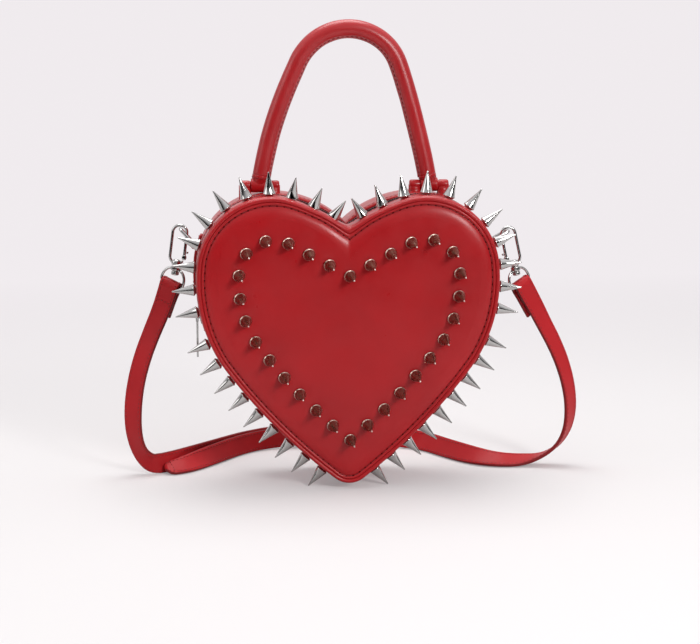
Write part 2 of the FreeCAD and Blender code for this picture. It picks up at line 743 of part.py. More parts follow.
thumb = box(Vector(-gate_pin_across - gate_width / 2 - thumb_reach, -gate_thickness / 2, thumb_start),
            Vector(-gate_pin_across, gate_thickness / 2, thumb_start + thumb_length))
gate_room = rod(gate_pin_radius + gate_pin_play, gate_pivot - half_gate, gate_pivot + half_gate)
gate = gate_eye.fuse([gate_arm, thumb]).cut(gate_room)

# Swivel eye: a boss round the post and a wire loop for the strap
boss_low = Vector(0, 0, swivel_head_height / 2 + swivel_gap)
boss_top = boss_low + Vector(0, 0, boss_height)
boss_room = rod(swivel_post_radius + swivel_play, boss_low, boss_top)


def eye_point(across, up):
    """Point of the wire loop, tilted about the swivel head."""
    level, rise = bearing(eye_tilt)
    return Vector(across * level - up * rise, 0, across * rise + up * level)


neck_points = [(eye_half_width * a, eye_drop * b) for a, b in eye_neck_shares]
eye_path = [eye_point(a, b) for a, b in neck_points]
eye_path += [eye_point(eye_half_width, -eye_drop), eye_point(-eye_half_width, -eye_drop)]
eye_path += [eye_point(-a, b) for a, b in reversed(neck_points)]
eye_loop = wire_form(eye_path, eye_wire, Vector(0, 1, 0))
eye_loop.rotate(Vector(0, 0, 0), Vector(0, 0, 1), eye_turn)
eye = rod(boss_radius, boss_low, boss_top).fuse(eye_loop).cut(boss_room)

# Both clasps, and the ring of each from the tab's loop to its place in the hook
for name, (ring_tip, _) in clasps.items():
    nodes[name + "_hook"] = on_clasp(hook, name)
    nodes[name + "_gate_pin"] = on_clasp(gate_pin, name)
    nodes[name + "_gate"] = on_clasp(gate, name)
    nodes[name + "_eye"] = on_clasp(eye, name)
    half_foot, half_tip = Vector(0, ring_half_width, 0), Vector(0, ring_tip_half_width, 0)
    ring_points = [tab_axis - half_foot, tab_axis + half_foot, ring_tip + half_tip, ring_tip - half_tip]
    ring_normal = (ring_tip - tab_axis).cross(Vector(0, 1, 0)).normalize()
    nodes[name + "_ring"] = on_side(wire_form(ring_points, ring_wire, ring_normal, True), name)

for name in ("handle_loop", "handle_bar", "ring_tab"):
    nodes["left_" + name] = mirrored(nodes["right_" + name])


def eye_way(across, back, up, name):
    """Way or reach in the frame of a clasp's tilted and turned eye."""
    tilted = eye_point(across, up)
    level, turned = bearing(eye_turn)
    upright, lean = bearing(clasp_leans[name])
    out = tilted.x * level - back * turned
    way = Vector(out * upright - tilted.z * lean, tilted.x * turned + back * level,
                 out * lean + tilted.z * upright)
    return Vector(-way.x, way.y, way.z) if name == "left" else way


def strap_section(point, along, width_way):
    along = along.normalize()
    across = (width_way - along * width_way.dot(along)).normalize()
    out = along.cross(across)
    half_across, half_out = across * (strap_width / 2), out * (strap_thickness / 2)
    return [point + half_across + half_out, point - half_across + half_out,
            point - half_across - half_out, point + half_across - half_out]


def strap_run(points, ways):
    """Sections along the smooth line that a strap takes between its points."""
    stops, length = [], 0
    for index in range(1, len(points) - 1):
        first = points[0] if index == 1 else (points[index - 1] + points[index]) * 0.5
        last = points[-1] if index == len(points) - 2 else (points[index] + points[index + 1]) * 0.5
        first_way = ways[0] if index == 1 else (ways[index - 1] + ways[index]) * 0.5
        last_way = ways[-1] if index == len(points) - 2 else (ways[index] + ways[index + 1]) * 0.5
        steps = range(1 if stops else 0, strap_span_steps + 1)
        for share in [step / strap_span_steps for step in steps]:
            keep = 1 - share
            point = first * keep ** 2 + points[index] * (2 * keep * share) + last * share ** 2
            way = first_way * keep ** 2 + ways[index] * (2 * keep * share) + last_way * share ** 2
            along = (points[index] - first) * keep + (last - points[index]) * share
            stops.append((point, along, way))
    for one, two in zip(stops, stops[1:]):
        length += (two[0] - one[0]).Length
    return [strap_section(*stop) for stop in stops], length


def strap(route, name):
    """Strap piece: its end goes round the eye's straight side, is closed on itself, and runs on."""
    head = clasps[name][1]
    side = left if name == "left" else right
    middle = Vector(side * head.x, head.y, head.z) + eye_way(0, 0, -eye_drop, name)
    down = eye_way(0, 0, -1, name)
    width = eye_way(side, 0, 0, name)
    front = eye_way(0, -1, 0, name)
    wrap = eye_wire + strap_bore_play + strap_thickness / 2
    layer = (strap_thickness + strap_layer_gap) / 2
    sections = []
    for drop, away in ((strap_fold_length, -layer), (strap_fold_close, -layer)):
        sections.append(strap_section(middle + down * drop + front * away, down * -1, width))
    for step in range(strap_wrap_steps + 1):
        turn = math.pi * step / strap_wrap_steps
        out = front * -math.cos(turn) - down * math.sin(turn)
        along = front * math.sin(turn) - down * math.cos(turn)
        sections.append(strap_section(middle + out * wrap, along, width))
    start = middle + down * strap_fold_close + front * layer
    points = [start] + [Vector(*point) for point, _ in route]
    ways = [width] + [Vector(*way) for _, way in route]
    run, length = strap_run(points, ways)
    return skin(sections + run), length


for name, route in (("left", left_route), ("right", right_route)):
    piece, run_length = strap(route, name)
    nodes["strap_" + name] = piece
    print("strap_" + name, "free run %.1f mm, volume over section %.1f mm, lowest %.2f mm" % (
        run_length, piece.Volume / strap_width / strap_thickness, piece.BoundBox.ZMin))

# Slide: a flat wire frame round both strap layers, behind the bag
near, far = Vector(*right_route[18][0]), Vector(*left_route[16][0])
slide_middle = Vector((near.x + far.x) / 2, (near.y + far.y) / 2, near.z)
slide_half_depth = (far.y - near.y + strap_thickness) / 2 + slide_play
slide_half_height = strap_width / 2 + slide_play
outer_frame = box(slide_middle - Vector(slide_length / 2, slide_half_depth + 2 * slide_wire,
                                        slide_half_height + 2 * slide_wire),
                  slide_middle + Vector(slide_length / 2, slide_half_depth + 2 * slide_wire,
                                        slide_half_height + 2 * slide_wire))
inner_frame = box(slide_middle - Vector(overrun, slide_half_depth, slide_half_height),
                  slide_middle + Vector(overrun, slide_half_depth, slide_half_height))
nodes["strap_slide"] = outer_frame.cut(inner_frame)

os.makedirs("parts", exist_ok=True)
for name, shape in nodes.items():
    shape.exportStep("parts/%s.step" % name)
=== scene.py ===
from math import acos, asin, atan2, cos, degrees, exp, hypot, pi, radians, sin, sqrt

import bmesh
import bpy
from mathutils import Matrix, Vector, noise
from mathutils.geometry import delaunay_2d_cdt


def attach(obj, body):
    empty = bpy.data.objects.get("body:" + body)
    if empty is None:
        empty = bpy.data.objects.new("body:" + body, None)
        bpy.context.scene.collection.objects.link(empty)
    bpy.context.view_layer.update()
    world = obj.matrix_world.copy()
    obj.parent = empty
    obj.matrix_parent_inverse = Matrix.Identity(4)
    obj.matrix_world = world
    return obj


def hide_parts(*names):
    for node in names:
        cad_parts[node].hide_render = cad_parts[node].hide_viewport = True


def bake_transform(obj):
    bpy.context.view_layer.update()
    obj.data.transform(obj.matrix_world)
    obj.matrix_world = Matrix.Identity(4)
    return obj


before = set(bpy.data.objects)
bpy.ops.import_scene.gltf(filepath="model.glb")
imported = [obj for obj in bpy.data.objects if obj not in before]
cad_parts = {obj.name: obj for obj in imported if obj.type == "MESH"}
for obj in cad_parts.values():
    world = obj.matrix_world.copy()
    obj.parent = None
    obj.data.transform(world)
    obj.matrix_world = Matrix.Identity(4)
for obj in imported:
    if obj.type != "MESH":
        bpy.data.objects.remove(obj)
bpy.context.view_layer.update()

scene = bpy.context.scene
scene.view_settings.view_transform = "Standard"
MM = 0.001
across_x, across_y = Vector((1, 0, 0)), Vector((0, 1, 0))
right, left = 1, -1
both_sides = (("right", right), ("left", left))

# Sizes in millimetres, the same as the solids have
front_face = -27.5
stand = 0.3004
heart_height = 204.4
lobe_offset = 52.4
lobe_radius = 52.0
cleft_depth = 20.9
side_radius = 109.0
shoulder_radius = 90.0
tip_radius = 16.0
lobe_end_angle = 5.7
side_end_angle = -25.8
shoulder_end_angle = -36.4
bag_depth = 72.0
gusset_inset = -0.5
zip_depth = 28.0
zip_end_height = 113.0
slider_height = 121.0
tab_foot_height = 139.0
outline_step = 2.4
# Front edge beside the cleft: how far it is drawn down, and where that fades
cleft_draw = {left: 3.3, right: 2.7}
draw_lowest, draw_full, draw_reach = 120, 22, 52
draw_inset, draw_depth, draw_fade = 18, 24, 10


# Heart outline

def bearing(angle):
    return cos(radians(angle)), sin(radians(angle))


def step_from(point, angle, length):
    across, up = bearing(angle)
    return point[0] + across * length, point[1] + up * length


def upright(angle, side=right):
    """Way that lies in the plane of the heart."""
    return Vector((side * bearing(angle)[0], 0, bearing(angle)[1]))


def ease(value):
    """Soft step from 0 to 1."""
    share = min(1.0, max(0.0, value))
    return share * share * (3 - 2 * share)


cleft_radius = (lobe_offset ** 2 + cleft_depth ** 2) / (2 * cleft_depth)
cleft_centre = (lobe_offset, heart_height - cleft_radius)
lobe_centre = (lobe_offset, heart_height - lobe_radius)
side_centre = step_from(lobe_centre, lobe_end_angle, lobe_radius - side_radius)
shoulder_centre = step_from(side_centre, side_end_angle, side_radius - shoulder_radius)
shoulder_end = step_from(shoulder_centre, shoulder_end_angle, shoulder_radius)
shoulder_way = bearing(shoulder_end_angle)
lower_radius = (shoulder_end[0] ** 2 + shoulder_end[1] ** 2) / (
    2 * (shoulder_end[0] * shoulder_way[0] + shoulder_end[1] * shoulder_way[1]))
lower_centre = step_from(shoulder_end, shoulder_end_angle, -lower_radius)
tip_drop = sqrt((lower_radius - tip_radius) ** 2 - lower_centre[0] ** 2)
tip_centre = (0, lower_centre[1] - tip_drop)
tip_angle = -degrees(atan2(tip_drop, -lower_centre[0]))


def side_angle(height):
    """Angle at which the heart's side passes a height."""
    return degrees(asin((height - side_centre[1]) / side_radius))


zip_end_angle = side_angle(zip_end_height)


def flank_arcs(inset):
    """Arcs from the top of the right lobe down to the tip."""
    return [
        (lobe_centre, lobe_radius - inset, 90, lobe_end_angle),
        (side_centre, side_radius - inset, lobe_end_angle, side_end_angle),
        (shoulder_centre, shoulder_radius - inset, side_end_angle, shoulder_end_angle),
        (lower_centre, lower_radius - inset, shoulder_end_angle, tip_angle),
    ]


def half_arcs(inset):
    """Arcs of the right half, from the cleft to the middle of the tip."""
    cleft_start = degrees(acos(-lobe_offset / (cleft_radius - inset)))
    cleft = (cleft_centre, cleft_radius - inset, cleft_start, 90)
    return [cleft] + flank_arcs(inset) + [(tip_centre, tip_radius - inset, tip_angle, -90)]


def arc_length(arc):
    return arc[1] * radians(abs(arc[2] - arc[3]))


arc_counts = [max(4, round(arc_length(arc) / outline_step)) for arc in half_arcs(0)]


def walk(arcs, counts):
    """Points along arcs."""
    points = []
    for (centre, radius, first, last), count in zip(arcs, counts):
        for index in range(1 if points else 0, count + 1):
            points.append(step_from(centre, first + (last - first) * index / count, radius))
    return points


def place(point, depth, side=right):
    return Vector((side * point[0], front_face + depth, point[1] + stand))


def drawn(point, inset, depth, side):
    """Front edge beside the cleft, drawn down a little as soft leather is."""
    reach = point[0]
    if point[1] < draw_lowest or reach > draw_reach:
        return point
    past = max(0.0, reach - draw_full) / (draw_reach - draw_full)
    along = (1 - exp(-reach / 4)) * (0.5 + 0.5 * cos(pi * past))
    fade = max(0.0, 1 - max(0.0, inset) / draw_inset) * (1 - ease((depth - draw_depth) / draw_fade))
    return reach, point[1] - cleft_draw[side] * along * fade


def heart_ring(inset, depth):
    """Closed row of points round the heart, clockwise from the cleft."""
    half = walk(half_arcs(inset), arc_counts)
    rows = [[place(drawn(point, inset, depth, side), depth, side) for point in half] for side in (right, left)]
    return rows[0] + rows[1][-2:0:-1]


def upper_run(inset, depth, right_end=zip_end_angle, left_end=zip_end_angle):
    """Open row of points over both lobes, from the left end of the zip to the right end."""
    rows = []
    for side, end in ((left, left_end), (right, right_end)):
        arcs = half_arcs(inset)[:3]
        arcs[2] = arcs[2][:3] + (end,)
        rows.append([place(drawn(point, inset, depth, side), depth, side) for point in walk(arcs, arc_counts)])
    return rows[0][:0:-1] + rows[1]


def lower_arcs(inset):
    """Arcs from the right end of the zip to the middle of the tip."""
    arcs = half_arcs(inset)[2:]
    arcs[0] = arcs[0][:2] + (zip_end_angle, side_end_angle)
    return arcs


def lower_run(inset, depth):
    """Open row of points round the tip, from one end of the zip to the other."""
    half = walk(lower_arcs(inset), arc_counts[2:])
    return [place(p, depth, left) for p in half] + [place(p, depth) for p in reversed(half[:-1])]


def station(arcs, distance):
    """Point at a distance along arcs, and the outward angle there."""
    for arc in arcs:
        centre, radius, first, last = arc
        length = arc_length(arc)
        if distance <= length:
            angle = first + (last - first) * distance / length
            return step_from(centre, angle, radius), angle
        distance -= length
    return step_from(centre, last, radius), last


# Mesh building

def oval(centre, side, other, wide, deep, count):
    """Ring of points round a centre."""
    turns = [2 * pi * corner / count for corner in range(count)]
    return [centre + side * (wide * cos(turn)) + other * (deep * sin(turn)) for turn in turns]


def both_ends(profile, length):
    """Profile of a turned form whose two ends are alike, from one end's radii and heights."""
    return profile + [(radius, length - height) for radius, height in reversed(profile)]


def heading(points, index, closed=False):
    """Way that a row of points runs at one of them."""
    before = points[index - 1 if closed or index else 0]
    after = points[(index + 1) % len(points) if closed else min(index + 1, len(points) - 1)]
    return (after - before).normalized()


class Form:
    """Points and faces of one piece, gathered in millimetres."""

    def __init__(self):
        self.points, self.faces, self.marks = [], [], []

    def add(self, points, faces, mark=0):
        start = len(self.points)
        self.points += [Vector(point) for point in points]
        self.faces += [[start + index for index in face] for face in faces]
        self.marks += [mark] * len(faces)

    def skin(self, rings, closed=False, round_ring=True, caps=True, mark=0):
        """Surface through rings of equal point count."""
        count, total = len(rings[0]), len(rings)
        faces = []
        for row in range(total if closed else total - 1):
            here, there = row * count, (row + 1) % total * count
            for index in range(count if round_ring else count - 1):
                after = (index + 1) % count
                faces.append((here + index, here + after, there + after, there + index))
        if caps and not closed:
            faces.append(tuple(reversed(range(count))))
            faces.append(tuple(range((total - 1) * count, total * count)))
        self.add([point for ring in rings for point in ring], faces, mark)

    def lofted(self, rows, **options):
        """Surface whose rows run along it, where skin's rings run across it."""
        self.skin([list(ring) for ring in zip(*rows)], **options)

    def turned(self, base, way, profile, sides):
        """Round form about a line, through radii and heights."""
        way = way.normalized()
        side = way.orthogonal().normalized()
        other = way.cross(side)
        self.skin([oval(base + way * height, side, other, radius, radius, sides) for radius, height in profile])

    def tube(self, points, radius, normal, closed=False, sides=12, squeeze=1.0):
        """Round bar along points, with one side kept along a normal."""
        rings = []
        for index, point in enumerate(points):
            along = heading(points, index, closed)
            over = (normal - along * normal.dot(along)).normalized()
            size = radius(index / (len(points) - 1)) if callable(radius) else radius
            rings.append(oval(point, along.cross(over), over, size, size * squeeze, sides))
        self.skin(rings, closed=closed)

    def stitch(self, point, along, up, length, radius, mark=1):
        """One stitch: a short thread that dips at both ends."""
        along = along.normalized()
        up = (up - along * up.dot(along)).normalized()
        side = along.cross(up)
        rings = []
        for share, size, sink in ((-1, 0.45, 1.1), (-0.72, 0.9, 0.25), (0, 1, 0), (0.72, 0.9, 0.25), (1, 0.45, 1.1)):
            middle = point + along * (share * length / 2) - up * (sink * radius)
            rings.append(oval(middle, side, up, radius * size, radius * size, 6))
        self.skin(rings, mark=mark)


def shown(name, data):
    """Object of some data, in the scene."""
    obj = bpy.data.objects.new(name, data)
    scene.collection.objects.link(obj)
    return obj


def smooth_mesh(name, form):
    mesh = bpy.data.meshes.new(name)
    mesh.from_pydata([point * MM for point in form.points], [], form.faces)
    mesh.polygons.foreach_set("use_smooth", [True] * len(form.faces))
    return mesh


def piece(name, form, body, stuffs, node):
    """Makes an object of a form, rides it on a body and hides the solid of the node that it stands for."""
    mesh = smooth_mesh(name, form)
    for stuff in stuffs:
        mesh.materials.append(stuff)
    mesh.polygons.foreach_set("material_index", form.marks)
    turner = bmesh.new()
    turner.from_mesh(mesh)
    bmesh.ops.recalc_face_normals(turner, faces=turner.faces)
    turner.to_mesh(mesh)
    turner.free()
    mesh.update()
    obj = shown(name, mesh)
    if body:
        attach(obj, body)
    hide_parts(node)
    return obj


def row_length(points):
    return sum((b - a).length for a, b in zip(points, points[1:]))


def along_row(points, pitch, start=0.0, closed=False):
    """Places at even distances along a row of points, with the way the row runs there."""
    row = points + points[:1] if closed else points
    lengths = [(b - a).length for a, b in zip(row, row[1:])]
    total = sum(lengths)
    count = max(1, round((total - 2 * start) / pitch))
    spots, index, passed = [], 0, 0.0
    for number in range(count):
        goal = start + (number + 0.5) * (total - 2 * start) / count
        while index < len(lengths) - 1 and passed + lengths[index] < goal:
            passed += lengths[index]
            index += 1
        way = (row[index + 1] - row[index]).normalized()
        spots.append((row[index] + way * (goal - passed), way, index))
    return spots


def rounded(points, size, closed=False):
    """Path with its corners rounded, for bent wire."""
    path, total, steps = [], len(points), 5
    for index, point in enumerate(points):
        if not closed and index in (0, total - 1):
            path.append(point)
            continue
        first, last = [point + (end - point).normalized() * min(size, (end - point).length * 0.48)
                       for end in (points[index - 1], points[(index + 1) % total])]
        for step in range(steps + 1):
            share = step / steps
            path.append(first * (1 - share) ** 2 + point * (2 * share * (1 - share)) + last * share ** 2)
    return path


# Materials

def fill(node, **values):
    """Sets a node's inputs by their names."""
    for key, value in values.items():
        node.inputs[key.replace("_", " ").title()].default_value = value
    return node


def add_node(tree, kind, **values):
    return fill(tree.nodes.new("ShaderNode" + kind), **values)


def shader(name, colour, shine=0.5, **values):
    """Plain material, with its node tree and its surface node."""
    stuff = bpy.data.materials.new(name + "_look")
    stuff.use_nodes = True
    surface = fill(stuff.node_tree.nodes["Principled BSDF"], base_color=(*colour, 1), **values)
    surface.inputs["Specular IOR Level"].default_value = shine
    return stuff, stuff.node_tree, surface


def link(source, target):
    source.id_data.links.new(source, target)


def texture(tree, kind, **values):
    """Texture node on object coordinates."""
    node = add_node(tree, "Tex" + kind, **values)
    link(add_node(tree, "TexCoord").outputs["Object"], node.inputs["Vector"])
    return node


def ramp(source, stops, target):
    """Colour ramp from a value to a colour input."""
    node = add_node(source.id_data, "ValToRGB")
    for stop, (position, colour) in zip(node.color_ramp.elements, stops):
        stop.position = position
        stop.color = (*colour, 1)
    link(source, node.inputs["Fac"])
    link(node.outputs["Color"], target)


def spread(source, low, high, start=0.3, end=0.7):
    """Value moved from one range to another."""
    node = add_node(source.id_data, "MapRange", from_min=start, from_max=end, to_min=low, to_max=high)
    link(source, node.inputs["Value"])
    return node.outputs["Result"]


def combine(operation, first, second):
    """One value worked out from two."""
    node = add_node(first.id_data, "Math")
    node.operation = operation
    link(first, node.inputs[0])
    link(second, node.inputs[1])
    return node.outputs["Value"]


def bump(surface, layers):
    """Stacked bumps: height source, strength and depth in metres."""
    last = None
    for source, strength, depth in layers:
        node = add_node(surface.id_data, "Bump", strength=strength, distance=depth)
        link(source, node.inputs["Height"])
        if last:
            link(last, node.inputs["Normal"])
        last = node.outputs["Normal"]
    link(last, surface.inputs["Normal"])


def shade(colour, factor):
    return tuple(channel * factor for channel in colour)


def leather(name, colour, roughness, grain=900, gloss=0.12, shine=0.28):
    """Smooth coated leather: fine pebble grain, slow colour drift and uneven gloss."""
    stuff, tree, surface = shader(name, colour, shine, roughness=roughness, coat_weight=gloss, coat_roughness=0.22)
    drift = texture(tree, "Noise", scale=22, detail=5.0, roughness=0.6)
    ramp(drift.outputs["Fac"], [(0.30, shade(colour, 0.90)), (0.70, shade(colour, 1.08))],
         surface.inputs["Base Color"])
    wear = texture(tree, "Noise", scale=70, detail=4.0)
    link(spread(wear.outputs["Fac"], roughness - 0.05, roughness + 0.07), surface.inputs["Roughness"])
    pebble = texture(tree, "Voronoi", scale=grain)
    fine = texture(tree, "Noise", scale=grain * 2.4, detail=3.0)
    bump(surface, [(pebble.outputs["Distance"], 0.14, 0.0002), (fine.outputs["Fac"], 0.08, 0.0001)])
    return stuff


def metal(name, colour, roughness):
    """Polished plating with faint wear in its gloss."""
    stuff, tree, surface = shader(name, colour, roughness=roughness, metallic=1.0)
    wear = texture(tree, "Noise", scale=160, detail=6.0, roughness=0.7).outputs["Fac"]
    link(spread(wear, roughness * 0.75, roughness * 1.5), surface.inputs["Roughness"])
    ramp(wear, [(0.35, shade(colour, 0.94)), (0.65, colour)], surface.inputs["Base Color"])
    return stuff


def cloth(name, colour, thread, roughness=0.85, sheen=0.25):
    """Plain weave: two crossed thread waves."""
    stuff, tree, surface = shader(name, colour, roughness=roughness, sheen_weight=sheen)
    waves = []
    for way in ("X", "Z"):
        wave = texture(tree, "Wave", scale=thread, distortion=0.6)
        wave.bands_direction = way
        waves.append(wave.outputs["Fac"])
    weave = combine("MAXIMUM", *waves)
    ramp(weave, [(0.2, shade(colour, 0.6)), (0.9, colour)], surface.inputs["Base Color"])
    bump(surface, [(weave, 0.5, 0.0002)])
    return stuff


red = (0.385, 0.008, 0.011)
strap_red = (0.440, 0.014, 0.018)
red_leather = leather("red_leather", red, 0.32)
# Front band and handle: a 5 % lighter copy of the red leather, painted sheen on their light-catching tops, with a
# higher specular level
band_leather = leather("band_leather", shade(red, 1.05), 0.34, gloss=0.06, shine=0.55)
strap_leather = leather("strap_leather", strap_red, 0.46, grain=1100, gloss=0.06, shine=0.16)
edge_paint = leather("edge_paint", shade(strap_red, 0.45), 0.50, grain=1600, gloss=0.05)
thread_red = cloth("thread", shade(red, 0.60), 2600, roughness=0.6, sheen=0.0)
# Dark stubs between the panel stitches: painted shade for the needle holes
stitch_hole_painted_shade = leather("painted_shade_at_holes", shade(red, 0.16), 0.6, gloss=0.0, shine=0.1)
strap_thread = cloth("strap_thread", shade(strap_red, 0.72), 2600, roughness=0.6, sheen=0.0)
spike_metal = metal("spike_metal", (0.57, 0.555, 0.54), 0.11)
# Front spikes: bronze-toned copies of the spike metal, with painted shade on the cone, a painted highlight on the rim
# and a paler painted highlight at the tip
painted_shade_cone_metal = metal("spike_cone_painted_shade", (0.31, 0.24, 0.18), 0.25)
painted_highlight_on_rims = metal("spike_rim_painted_highlight", (0.58, 0.45, 0.38), 0.24)
painted_highlight_tip_metal = metal("spike_tip_painted_highlight", (0.88, 0.80, 0.75), 0.42)
bright_metal = metal("polished_metal", (0.54, 0.53, 0.52), 0.15)
tape_cloth = cloth("zip_tape", (0.052, 0.006, 0.008), 1500)
coil_plastic = leather("zip_coil", (0.060, 0.008, 0.010), 0.34, grain=2000, gloss=0.1)
lining_cloth = cloth("lining", (0.030, 0.022, 0.022), 1300)
board_stuff = cloth("board", (0.30, 0.24, 0.17), 500)
core_cloth = cloth("handle_core", (0.60, 0.56, 0.48), 900)

# Camera at the photograph's angle
camera = shown("camera", bpy.data.cameras.new("camera"))
camera.data.lens = 85.2
camera.data.sensor_width = 36.0
camera.data.clip_end = 50.0
camera.location = (-0.0992, -1.1503, 0.2988)
camera.rotation_euler = Vector((0.0870, 0.9837, -0.1575)).to_track_quat("-Z", "Y").to_euler()
scene.camera = camera

# Straps: control points of each run, and the way the width points there
on_edge = (0.0, 0.0, 1.0)
left_route = [
    (-124.5, 23.1, 139.5, 0.817, -0.456, -0.353),
    (-126.9, 25.3, 131.0, 0.817, -0.456, -0.353),
    (-131.3, 26.8, 118.9, 0.78, -0.54, -0.30),
    (-137.4, 28.2, 104.8, 0.75, -0.60, -0.28),
    (-144.6, 28.6, 86.5, 0.76, -0.60, -0.22),
    (-149.8, 28.6, 67.0, 0.79, -0.60, -0.10),
    (-152.2, 28.5, 48.0, 0.81, -0.58, 0.02),
    (-151.9, 28.4, 31.0, 0.74, -0.64, 0.12),
    (-148.2, 28.2, 17.3, 0.54, -0.66, 0.52),
    (-141.2, 27.9, 9.4, 0.24, -0.36, 0.90),
    (-134.5, 28.8, 7.8, 0.05, -0.06, 0.99),
    (-123.0, 38.5, 7.8, *on_edge),
    (-107.5, 56.0, 7.7, *on_edge),
    (-90.0, 76.0, 7.7, *on_edge),
    (-72.0, 96.0, 7.7, *on_edge),
    (-50.0, 110.5, 8.2, *on_edge),
    (-30.0, 109.5, 9.4, *on_edge),
    (-14.0, 106.1, 10.4, *on_edge),
    (0.0, 105.9, 10.6, *on_edge),
    (16.0, 106.3, 10.6, *on_edge),
]
right_route = [
    (130.6, 23.1, 137.0, 0.784, 0.456, 0.422),
    (135.2, 25.3, 129.0, 0.784, 0.456, 0.422),
    (142.0, 26.8, 117.2, 0.76, 0.56, 0.34),
    (147.8, 28.0, 106.2, 0.72, 0.62, 0.30),
    (154.0, 28.4, 95.0, 0.70, 0.64, 0.30),
    (161.3, 28.6, 79.0, 0.70, 0.68, 0.20),
    (166.8, 28.6, 60.5, 0.68, 0.72, 0.08),
    (168.8, 28.6, 43.0, 0.64, 0.76, -0.02),
    (166.6, 28.8, 27.0, 0.52, 0.84, -0.08),
    (159.0, 29.2, 14.5, 0.36, 0.92, -0.14),
    (147.5, 30.5, 7.0, 0.20, 0.96, -0.08),
    (133.0, 32.0, 4.2, 0.12, 0.93, 0.30),
    (118.0, 31.2, 4.7, 0.15, 0.88, 0.43),
    (104.5, 35.5, 5.8, 0.22, 0.78, 0.58),
    (92.5, 46.2, 6.6, 0.30, 0.60, 0.72),
    (81.0, 63.5, 6.9, 0.32, 0.50, 0.79),
    (68.0, 85.0, 7.4, 0.26, 0.38, 0.88),
    (50.0, 96.5, 8.1, 0.06, 0.15, 0.985),
    (30.0, 101.0, 9.4, *on_edge),
    (12.0, 102.5, 10.6, *on_edge),
    (-4.0, 102.6, 10.6, *on_edge),
    (-20.0, 102.5, 10.3, *on_edge),
    (-40.0, 102.0, 8.8, *on_edge),
    (-57.0, 98.5, 7.8, -0.12, 0.16, 0.98),
    (-71.5, 86.2, 7.7, -0.14, 0.16, 0.98),
    (-86.0, 67.8, 7.5, -0.24, 0.26, 0.935),
    (-100.5, 49.2, 6.8, -0.38, 0.42, 0.82),
    (-111.5, 37.5, 5.6, -0.40, 0.66, 0.63),
    (-121.0, 30.5, 4.8, -0.30, 0.83, 0.47),
    (-129.8, 27.5, 4.6, -0.22, 0.87, 0.44),
]
strap_width = 15.0
strap_thickness = 2.4
strap_end_round = 6.5
# Middle of each eye's straight side, and the ways down, across and to the front of the fold there
folds = {
    left: ((-123.168, 25.522, 139.338), (-0.340, 0.114, -0.934), (0.817, -0.456, -0.353), (-0.465, -0.883, 0.062)),
    right: ((129.365, 25.522, 136.682), (0.419, 0.114, -0.901), (0.784, 0.456, 0.422), (0.458, -0.883, 0.102)),
}


def smooth_line(points):
    """Points read from a smooth spline that has the given control points."""
    curve = bpy.data.curves.new("route", "CURVE")
    curve.dimensions = "3D"
    curve.resolution_u = 6
    spline = curve.splines.new("NURBS")
    spline.points.add(len(points) - 1)
    for target, point in zip(spline.points, points):
        target.co = (*point, 1)
    spline.order_u = 3
    spline.use_endpoint_u = True
    holder = bpy.data.objects.new("route", curve)
    mesh = bpy.data.meshes.new_from_object(holder)
    line = [vertex.co.copy() for vertex in mesh.vertices]
    bpy.data.objects.remove(holder)
    bpy.data.curves.remove(curve)
    bpy.data.meshes.remove(mesh)
    return line


strap_half = [(0.47, -0.5), (0.495, -0.3), (0.5, 0.0), (0.495, 0.3), (0.47, 0.5), (0.40, 0.46), (0, 0.5),
              (-0.40, 0.46)]
strap_outline = [(sign * a * strap_width, sign * b * strap_thickness) for sign in (1, -1) for a, b in strap_half]
edge_columns = (0, 1, 2, 3, 8, 9, 10, 11)


def strap(name, route, side):
    """Strap piece: the end folded round the eye, then the smooth run."""
    line = smooth_line([[value * MM for value in row[:3]] for row in route])
    ways = smooth_line([row[3:] for row in route])
    form = Form()
    middle, down, width, front = [Vector(value) for value in folds[side]]
    points = []
    for drop, away, over in ((23, 1.5, 1.8), (18, 1.4, 1.1), (13, 1.4, 0.6), (8, 1.7, 0.2), (3, 2.6, 0)):
        points.append(middle + down * drop - front * away + across_x * (over if side == right else 0))
    for step in range(1, 8):
        turn = pi * step / 8
        points.append(middle - (front * cos(turn) + down * sin(turn)) * 2.8)
    run_start = len(points)
    points += [point / MM for point in line]
    frames = []
    for index, way in enumerate([width] * run_start + ways):
        along = heading(points, index)
        across = (way - along * way.dot(along)).normalized()
        frames.append((points[index], across, along.cross(across)))
    ends = [sqrt(max(0.08, 1 - max(0.0, 1 - row_length(points[index:]) / strap_end_round) ** 2))
            for index in range(len(points))]
    form.skin([[point + across * (a * share) + out * b for a, b in strap_outline]
               for (point, across, out), share in zip(frames, ends)])
    count = len(strap_outline)
    for number in range((len(points) - 1) * count):
        if number % count in edge_columns:
            form.marks[number] = 1
    # Two rows of stitches on both faces, and one row across below the eye
    for row in (-1, 1):
        for face in (-1, 1):
            rail = [point + across * (row * share * (strap_width / 2 - 1.9)) + out * (face * strap_thickness * 0.47)
                    for (point, across, out), share in zip(frames, ends)]
            for spot, way, index in along_row(rail, 3.1, 2.0):
                form.stitch(spot, way, frames[index][2] * face, 2.2, 0.34, mark=2)
    cross = min(range(run_start, len(points)), key=lambda i: abs((points[i] - middle).dot(down) - 13))
    point, across, out = frames[cross]
    face = 1 if out.dot(front) > 0 else -1
    rail = [point + across * share + out * (face * strap_thickness * 0.47) for share in (-5.6, 5.6)]
    for spot, way, _ in along_row(rail, 2.8):
        form.stitch(spot, way, out * face, 2.1, 0.36, mark=2)
    return piece(name + "_belt", form, "bag", (strap_leather, edge_paint, strap_thread), name), line


for name, route, side in (("strap_left", left_route, left), ("strap_right", right_route, right)):
    obj, line = strap(name, route, side)

# Heart panels: rolled rim, sewn groove with painted shade at the needle holes, and a soft field that dips at each
# spike

